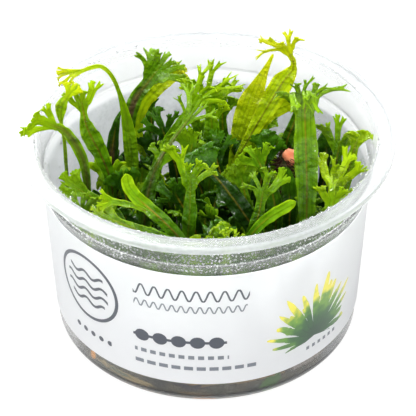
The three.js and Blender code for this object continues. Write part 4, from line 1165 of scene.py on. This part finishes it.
def grow_finger(lamina, row, shoot, reach, turn, lift, along, age, seed):
    """A finger of a crest. It broadens and parts in two, as long as it is wide enough."""
    columns = len(row) - 1
    width = (lamina.corners[row[-1]] - lamina.corners[row[0]]).length
    if columns < 2 or width < THINNEST:
        last, tip = grow_stretch(
            lamina, row, shoot, (width, 0.5 * width), 0.75 * reach, turn, lift, along, (age, 1), 0.2)
        lamina.close(last, tip, 0.25 * reach, along + reach, 1)
        return
    first = reach * (0.62 + 0.12 * wobble(seed))
    middle = mix(age, 1, 0.5)
    broad = (1.30 + 0.16 * wobble(seed + 1)) * width
    last, tip = grow_stretch(
        lamina, row, shoot, (width, broad), first, turn, lift, along, (age, middle), 0.4, ARCH)
    uneven = 0.22 * wobble(seed + 2)
    parts = part_row(lamina, last, tip, (1 + uneven, 1 - uneven))
    for number, (part, begun, turned) in enumerate(parts):
        child = 2 * seed + 5 + 3 * number
        spread = (1 - 2 * number) * math.radians(20 + 10 * wobble(child))
        tilt = math.radians(32) * wobble(child + 1)
        length = (reach - first) * (1 + 0.4 * wobble(child + 2))
        grow_finger(lamina, part, begun, length, spread - turned, tilt, along + first, middle, child)


def crest_plan(shape, seed):
    """The palm's length and flare, and its fingers: how each turns, its length, lift and share."""
    if shape["fingers"]:
        return shape["palm"], shape["flare"], shape["fingers"]
    kind = CRESTS[shape["crest"]]
    fingers = []
    for k in range(kind["fingers"]):
        mark = seed + 7 * k
        turn = kind["spread"] * (1 - 2 * k / (kind["fingers"] - 1)) + 10 * wobble(mark)
        length = (1 - kind["palm"]) * shape["size"] * (1 + 0.28 * wobble(mark + 1))
        lift = kind["lift"] * wobble(mark + 2) - kind["droop"]
        fingers.append((turn, length, lift, 1 + 0.35 * wobble(mark + 3)))
    return kind["palm"] * shape["size"], kind["flare"], fingers


def grow_crest(lamina, row, shoot, width, shape, along, seed, finer):
    """The crest: the blade flares into a palm, and the palm parts into fingers."""
    palm, flare, fingers = crest_plan(shape, seed)
    row, tip = grow_stretch(
        lamina, row, shoot, (width, flare * width), palm, 0, 0.1 * wobble(seed + 2), along,
        (CREST_AGE, PALM_AGE), 0.6, ARCH, finer)
    parts = part_row(lamina, row, tip, [share for *_, share in fingers])
    for number, ((turn, length, lift, _), (part, begun, turned)) in enumerate(zip(fingers, parts)):
        grow_finger(
            lamina, part, begun, length, math.radians(turn) - turned, math.radians(lift), along + palm,
            PALM_AGE, seed + 11 * number)


def grow_side_lobe(lamina, shape, lobe, length, seed):
    """A lobe that leaves the blade's edge and parts into fingers at its tip."""
    points = midrib_points(shape)
    shoot = midrib_shoot(shape, points, lobe["at"])
    start = shoot.moved(0, 0.25 * lobe["side"] * blade_width(shape, lobe["at"]))
    along = lobe["at"] * length
    row = lamina.row(start, 0.6 * lobe["width"], 8, along, 0.6, 0.3)
    turn = -lobe["side"] * math.radians(lobe["turn"])
    stem = 0.74 * lobe["length"]
    widths = (0.6 * lobe["width"], lobe["width"])
    row, tip = grow_stretch(lamina, row, start, widths, stem, turn, 0.1, along, (0.6, 0.8), 0.4, ARCH)
    reach = lobe["length"] - stem
    for number, (part, begun, turned) in enumerate(part_row(lamina, row, tip, (1, 1.2))):
        spread = (1 - 2 * number) * 0.4
        grow_finger(lamina, part, begun, reach, spread - turned, 0.1, along + stem, 0.8, seed + number)


def grow_leaf(shape, seed, columns=BLADE_COLUMNS, finer=2):
    lamina = Lamina(seed)
    row, shoot, width, length = grow_blade(lamina, shape, columns)
    if shape["crest"] or shape["fingers"]:
        grow_crest(lamina, row, shoot, width, shape, length, seed, finer)
    else:
        lamina.close(row, shoot, 0.35 * width, length, 1)
    for number, lobe in enumerate(shape["lobes"]):
        grow_side_lobe(lamina, shape, lobe, length, seed + 31 * number + 11)
    return lamina


def leaf_piece(name, laminas, shapes):
    """Makes a mesh of grown skins, with the marks that its material reads."""
    corners, faces = [], []
    marks = {mark: [] for mark in ("across", "edge", "along", "age", "rib", "sun", "stain", "ridge")}
    for lamina, shape in zip(laminas, shapes):
        base = len(corners)
        corners += [place * MM for place in lamina.corners]
        faces += [tuple(base + k for k in face) for face in lamina.faces]
        for mark, values in lamina.marks.items():
            marks[mark] += values
        for mark in ("rib", "sun", "stain"):
            marks[mark] += [shape[mark]] * len(lamina.corners)
    ridges = marks.pop("ridge")
    mesh = bpy.data.meshes.new(name)
    mesh.from_pydata(corners, [], faces)
    for mark, values in marks.items():
        mesh.attributes.new(mark, "FLOAT", "POINT").data.foreach_set("value", values)
    piece = bpy.data.objects.new(name, mesh)
    bpy.context.collection.objects.link(piece)
    group = piece.vertex_groups.new(name="ridge")
    for index, weight in enumerate(ridges):
        group.add([index], weight, "REPLACE")
    return piece


def thicken(piece, rounded):
    """Gives a skin the thickness of a leaf, thicker along the midrib, and rounds it."""
    select_only(piece)
    shell = piece.modifiers.new("thickness", "SOLIDIFY")
    shell.thickness = RIB_THICKNESS * MM
    shell.offset = -0.2
    shell.vertex_group = "ridge"
    shell.thickness_vertex_group = LAMINA_SHARE
    bpy.ops.object.modifier_apply(modifier="thickness")
    if rounded:
        softer = piece.modifiers.new("rounding", "SUBSURF")
        softer.levels = 1
        softer.render_levels = 1
        bpy.ops.object.modifier_apply(modifier="rounding")
    bpy.ops.object.shade_smooth()


# A frond's finish: a wet translucent leaf, dark at its foot, fresh green along the blade and
# yellow-green at its tips, with pinnate veins, a brown midrib, pale margins and wet patches. The
# four tones are copies of one leaf at four brightnesses, partly for the leaves' own ages and partly
# as painted light and shade: leaves deep in the tuft take the darker tones, and the near-black feet
# are painted shade as well as the leaf's darker colour there.
TONES = {
    "yellow": {
        "foot": (0.030, 0.090, 0.0015), "blade": (0.14, 0.29, 0.002), "fresh": (0.44, 0.57, 0.004),
        "tip": (0.62, 0.62, 0.006), "glow": (0.54, 0.68, 0.006), "through": 0.42,
    },
    "bright": {
        "foot": (0.008, 0.034, 0.001), "blade": (0.052, 0.155, 0.001), "fresh": (0.155, 0.31, 0.002),
        "tip": (0.34, 0.50, 0.004), "glow": (0.26, 0.54, 0.005), "through": 0.34,
    },
    "mid": {
        "foot": (0.004, 0.017, 0.001), "blade": (0.022, 0.080, 0.001), "fresh": (0.085, 0.21, 0.002),
        "tip": (0.19, 0.35, 0.004), "glow": (0.15, 0.37, 0.004), "through": 0.26,
    },
    # painted shade: the dark tone is a shaded copy of the leaf, for leaves deep in the tuft
    "dark": {
        "foot": (0.002, 0.006, 0.001), "blade": (0.005, 0.022, 0.001), "fresh": (0.012, 0.052, 0.001),
        "tip": (0.045, 0.14, 0.002), "glow": (0.038, 0.14, 0.003), "through": 0.17,
    },
}
RIB_BROWN = (0.060, 0.028, 0.006)
RIB_GOLD = (0.20, 0.16, 0.004)
STAIN_BROWN = (0.055, 0.030, 0.016)
STAIN_BLACK = (0.010, 0.006, 0.002)
leaf_materials = {}
for tone, look in TONES.items():
    material, wire, output = new_material(tone + "_leaf")
    place = wire.node("TexCoord", output=3)
    across, edge, along, age, rib_share, sun, stain = (
        wire.node("Attribute", {"attribute_name": mark}, output=2)
        for mark in ("across", "edge", "along", "age", "rib", "sun", "stain")
    )
    patch = noise_at(place, 130, 4, Roughness=0.6)
    blotch = noise_at(place, 620, 3)
    wetness = noise_at(place, 75, 2)
    lengthwise = wire.node("CombineXYZ", inputs={0: across * 1.1, 1: along * 0.09, 2: sun * 40})
    streak = noise_at(lengthwise, 2.2, 3)
    mottle = 0.12 * (patch - 0.5) + 0.28 * (streak - 0.5) + 0.13 * (blotch - 0.5)
    # painted light and shade: each leaf's shift moves its colours lighter or darker, along with its age
    growth = age + sun + mottle + 0.07 * edge
    colour = ramp(growth, [
        (0.04, look["foot"]),
        (0.36, look["blade"]),
        (0.68, look["fresh"]),
        (0.97, look["tip"]),
    ])
    outward = abs(across)
    veins = ((along - 0.9 * outward) * 2.3 + 3.0 * (patch - 0.5)).math("SINE")
    strands_along = (across * 5.5 + 2.0 * (patch - 0.5)).math("SINE")
    dark_lines = 0.05 * veins.between(0.5, 1.0) + 0.32 * strands_along.between(0.4, 1.0)
    colour = dark_lines.blend(colour, look["foot"])
    colour = (0.30 * edge.between(0.78, 1.0) * growth.between(0.1, 0.5)).blend(colour, look["fresh"])
    colour = (0.55 * edge.between(0.62, 0.95) * growth.between(0.45, 0.8)).blend(colour, look["tip"])
    rib_colour = age.between(0.1, 0.6).blend(RIB_BROWN, RIB_GOLD)
    rib_line = (1 - outward.between(0.10, 0.34)) * (1 - age.between(0.56, 0.72)) * rib_share
    colour = rib_line.blend(colour, rib_colour)
    stained = (1 - outward.between(0.5, 1.25)) * (1 - age.between(0.40, 0.66)) * stain
    colour = (0.92 * stained).blend(colour, age.between(0.05, 0.5).blend(STAIN_BLACK, STAIN_BROWN))
    wet = wetness.between(0.42, 0.50)
    relief = 0.08 * veins + 2.0 * patch + (0.8 + 3.4 * wet) * blotch
    bump = wire.node("Bump", inputs={"Height": relief, "Strength": 0.9, "Distance": 0.0004})
    leaf = wire.node("BsdfPrincipled", inputs={
        "Base Color": colour,
        "Roughness": 0.36 + 0.2 * patch,
        "IOR": 1.4,
        "Specular IOR Level": 0.07,
        "Coat Weight": 0.65 * wet,
        "Coat Roughness": 0.07,
        "Normal": bump,
    })
    glow = wire.node("BsdfTranslucent", inputs={"Color": (*look["glow"], 1), "Normal": bump})
    through = look["through"] * (0.12 + 0.88 * growth.between(0.1, 0.75))
    through = through * (1 - 0.8 * rib_line) * (1 - 0.95 * stained) * (1 - 0.6 * dark_lines)
    finish_material(output, wire.node("MixShader", inputs={0: through, 1: leaf, 2: glow}))
    leaf_materials[tone] = material

for number, (name, numbers) in enumerate(FRONDS.items(), start=1):
    shape = {**PLAIN, **numbers}
    frond = leaf_piece(name.replace("frond_", "leaf_"), [grow_leaf(shape, 10 * number)], [shape])
    thicken(frond, rounded=True)
    frond.data.materials.append(leaf_materials[shape["tone"]])
    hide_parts(name)
    shape["tone"] + "_frond"
    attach(frond, "root")

# Young leaves: small plain shoots that crowd round the fronds' feet, on the same rhizomes.
# They are grown as the fronds are, with fewer rows, and joined into one mesh for each tone.
RHIZOMES = {
    "rhizome_left": [
        "frond_left_edge", "frond_left_over", "frond_left_bow", "frond_left_fan", "frond_left_arch",
        "frond_left_dark",
    ],
    "rhizome_front_left": [
        "frond_front_left_low", "frond_front_left_inner", "frond_left_low", "frond_left_cross",
        "frond_left_mid",
    ],
    "rhizome_front": [
        "frond_front_peek_left", "frond_front_left_bright", "frond_front_centre", "frond_centre_low",
        "frond_centre_inner",
    ],
    "rhizome_centre": [
        "frond_centre_lace", "frond_centre_dark", "frond_centre_lobed", "frond_tall_crested",
        "frond_centre_right_dark", "frond_centre_right_small", "frond_right_inner",
    ],
    "rhizome_back": [
        "frond_back_left_small", "frond_back_left_tall", "frond_back_left_pale", "frond_back_lobed",
        "frond_tall_lance", "frond_side_blade", "frond_back_right_stem",
    ],
    "rhizome_right": [
        "frond_front_right_inner", "frond_right_fan", "frond_right_tall", "frond_right_wavy",
        "frond_right_edge", "frond_right_bush", "frond_right_dark", "frond_back_right_small",
        "frond_back_right_low",
    ],
    "rhizome_front_right": [
        "frond_front_peek_right", "frond_front_right_wide", "frond_front_right_crest", "frond_front_cross",
        "frond_right_cross", "frond_right_round",
    ],
}
YOUNG_ON_EACH_FOOT = 4
YOUNG_FOOT_GAP = 1.6
YOUNG_REACH = wall_radius(0.02) / MM - 9.5
chance = random.Random(21)
young = {"mid": [], "dark": [], "bright": []}
for name, feet in RHIZOMES.items():
    for frond in feet:
        foot = FRONDS[frond]["foot"]
        for _ in range(YOUNG_ON_EACH_FOOT):
            lean = chance.uniform(0, 2 * math.pi)
            height = chance.uniform(9, 25)
            bow = chance.uniform(0.15, 0.5) * height
            start = (foot[0] + YOUNG_FOOT_GAP * math.cos(lean), foot[1] + YOUNG_FOOT_GAP * math.sin(lean))
            points = []
            for share in (0.4, 0.75, 1.0):
                out = bow * share ** 1.4
                spot = Vector((start[0] + out * math.cos(lean), start[1] + out * math.sin(lean)))
                if spot.length > YOUNG_REACH:
                    spot *= YOUNG_REACH / spot.length
                points.append((spot.x, spot.y, FOOT_LEVEL + height * share))
            # painted shade: most young leaves take the darker tones and shift darker, deep among the fronds'
            # feet
            tone = chance.choice(("mid", "dark", "mid", "dark", "bright"))
            shape = {
                **PLAIN, "foot": start, "points": points, "width": chance.uniform(2.4, 4.4),
                "turn": (chance.uniform(-50, 50), chance.uniform(-50, 50)),
                "crest": chance.choice((None, "fan", "hand")), "size": chance.uniform(3, 6.5),
                "peak": 0.7, "neck": 0.6, "sun": chance.uniform(-0.2, 0.02),
            }
            young[tone].append((grow_leaf(shape, chance.randrange(5000), 8, finer=1), shape))
for tone, grown in young.items():
    piece = leaf_piece("young_leaves_" + tone, *zip(*grown))
    thicken(piece, rounded=False)
    piece.data.materials.append(leaf_materials[tone])
    tone + "_frond"
    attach(piece, "root")

# The rhizomes: creeping stems on top of the root mat, lumpy, green-brown and set with dark
# hairs. Each runs under the feet of its own fronds, and one old one stands up among them with
# a tuft of roots round its orange cut end. A thick strand is thickened and lumped.
RHIZOME_LEVEL = 9.97
RHIZOME_THICKNESS = 3.9
STUB = ((18, 5.5, 12), (19.5, 6.5, 25), (20.8, 7.5, 37), (21.6, 8, 46))
STUB_ROOTS = 420
STUB_ROOT_STEPS = 6
STUB_ROOT_THICKNESS = 0.0003
CUT_END_MIDDLE = Vector((22.7, 6.9, 45.9))
CUT_END_SIZE = (1.9, 1.2, 2.5)
rhizome_skin, wire, output = new_material("rhizome_skin")
place = wire.node("TexCoord", output=3)
patch = noise_at(place, 240, 5)
scales = wire.node("TexVoronoi", inputs={"Vector": place, "Scale": 900})
tint = ramp(patch, [
    (0.35, (0.012, 0.010, 0.004)),
    (0.5, (0.035, 0.05, 0.008)),
    (0.65, (0.09, 0.07, 0.02)),
])
relief = wire.node("Bump", inputs={"Height": scales + patch, "Strength": 0.7, "Distance": 0.0004})
finish_material(output, wire.node("BsdfPrincipled", inputs={
    "Base Color": tint,
    "Roughness": 0.35 + 0.3 * patch,
    "Normal": relief,
}))
stems = {
    name: [(*FRONDS[frond]["foot"], RHIZOME_LEVEL) for frond in feet]
    for name, feet in RHIZOMES.items()
}
stems["rhizome_stub"] = STUB
for number, (name, places) in enumerate(stems.items()):
    points = [Vector(spot) for spot in places]
    steps = 8 * (len(points) - 1)
    path = []
    for i in range(steps + 1):
        share = i / steps
        size = (1 - 0.45 * abs(2 * share - 1) ** 6) * (1 + 0.12 * wobble(20 * number + i))
        path.append((midrib_place(points, share) * MM, size))
    rhizome = strands(name.replace("rhizome", "stem"), [path], RHIZOME_THICKNESS * MM, sides=4)
    for corner in rhizome.data.vertices:
        corner.co += corner.normal * 0.0003 * noise.noise(corner.co * 900)
    rhizome.data.materials.append(rhizome_skin)
    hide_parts(name)
    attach(rhizome, "root")

chance = random.Random(11)
paths = []
for _ in range(STUB_ROOTS):
    share = chance.uniform(0.55, 1.0)
    start = midrib_place([Vector(spot) for spot in STUB], share)
    angle = chance.uniform(0, 2 * math.pi)
    outward = Vector((math.cos(angle), math.sin(angle), chance.uniform(-0.6, 0.5)))
    reach = chance.uniform(1.6, 3.4)
    curl = Vector((chance.uniform(-1, 1), chance.uniform(-1, 1), chance.uniform(-1, 0.4)))
    path = []
    for step in range(STUB_ROOT_STEPS + 1):
        gone = step / STUB_ROOT_STEPS
        spot = start + outward * (1.0 + reach * gone) + curl * (0.9 * gone ** 2)
        path.append((spot * MM, 1 - 0.6 * gone))
    paths.append(path)
tuft = strands("stub_roots", paths, STUB_ROOT_THICKNESS)
material, wire, output = new_material("root_hair")
finish_material(output, wire.node("BsdfPrincipled", inputs={
    "Base Color": (0.022, 0.009, 0.003, 1),
    "Roughness": 0.6,
    "Specular IOR Level": 0.1,
}))
tuft.data.materials.append(material)
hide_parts("rhizome_stub")
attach(tuft, "root")

bpy.ops.mesh.primitive_uv_sphere_add(segments=20, ring_count=12, radius=1)
cut_end = bpy.context.object
cut_end.name = "stub_cut_end"
for corner in cut_end.data.vertices:
    lump = 1 + 0.5 * noise.noise(corner.co * 1.4)
    swollen = Vector([size * share for size, share in zip(CUT_END_SIZE, corner.co)])
    corner.co = (CUT_END_MIDDLE + swollen * lump) * MM
bpy.ops.object.shade_smooth()
material, wire, output = new_material("cut_rhizome")
place = wire.node("TexCoord", output=3)
patch = noise_at(place, 500, 3)
finish_material(output, wire.node("BsdfPrincipled", inputs={
    "Base Color": patch.blend((0.80, 0.17, 0.07), (0.62, 0.30, 0.16)),
    "Roughness": 0.45,
}))
cut_end.data.materials.append(material)
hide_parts("rhizome_stub")
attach(cut_end, "root")

# Droplets: condensed water on the cup's neck and inner wall and along the edge of its mouth,
# as small flattened domes.
NECK_DROPS = 520
WALL_DROPS = 330
MOUTH_DROPS = 460
chance = random.Random(3)
bpy.ops.mesh.primitive_ico_sphere_add(subdivisions=2, radius=1)
drop = bpy.context.object
drop_corners = [corner.co.copy() for corner in drop.data.vertices]
drop_faces = [tuple(face.vertices) for face in drop.data.polygons]
bpy.data.objects.remove(drop)


def add_drop(corners, faces, place, facing_out, size, flatness):
    """A dome at a place on the wall, flattened along the wall's normal."""
    base = len(corners)
    turn = facing_out.to_track_quat("Z", "Y").to_matrix()
    for corner in drop_corners:
        flat = Vector((corner.x * size, corner.y * size, corner.z * size * flatness))
        corners.append(place + turn @ flat)
    faces.extend(tuple(base + k for k in face) for face in drop_faces)


def outward(angle):
    return Vector((math.cos(angle), math.sin(angle), 0))


corners, faces = [], []
for _ in range(NECK_DROPS):
    angle = chance.uniform(0, 2 * math.pi)
    height = LABEL_TOP + 0.0007 + (RIM_HEIGHT - LABEL_TOP - 0.003) * chance.random()
    size = 0.00018 + 0.0003 * chance.random() ** 3
    if abs(height - BEAD_HEIGHT) < 2 * BEAD_HALF or math.sin(angle) > -0.2:
        continue
    radius = NECK_RADIUS - WALL + 0.00004
    around = outward(angle)
    add_drop(corners, faces, around * (radius - 0.3 * size) + Vector((0, 0, height)), around, size, 0.5)
for _ in range(WALL_DROPS):
    angle = chance.uniform(0, 2 * math.pi)
    height = chance.uniform(0.016, LABEL_TOP)
    size = 0.0002 + 0.0007 * chance.random() ** 4
    radius = wall_radius(height) - WALL
    around = outward(angle)
    add_drop(corners, faces, around * (radius - 0.2 * size) + Vector((0, 0, height)), around, size, 0.4)
for _ in range(MOUTH_DROPS):
    angle = chance.uniform(0, 2 * math.pi)
    size = 0.00016 + 0.00024 * chance.random() ** 2
    around = outward(angle)
    place = around * (MOUTH_RADIUS + chance.uniform(-0.0001, 0.0007)) + Vector((0, 0, RIM_HEIGHT - 0.0001))
    add_drop(corners, faces, place, (around * -0.4 + Vector((0, 0, 1))).normalized(), size, 0.6)
mesh = bpy.data.meshes.new("droplets")
mesh.from_pydata(corners, [], faces)
droplets = bpy.data.objects.new("droplets", mesh)
bpy.context.collection.objects.link(droplets)
select_only(droplets)
bpy.ops.object.shade_smooth()
material, wire, output = new_material("water")
finish_material(output, wire.node("BsdfPrincipled", inputs={
    "Base Color": (1, 1, 1, 1),
    "Roughness": 0.02,
    "IOR": 1.33,
    "Transmission Weight": 1,
}))
droplets.data.materials.append(material)
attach(droplets, "root")
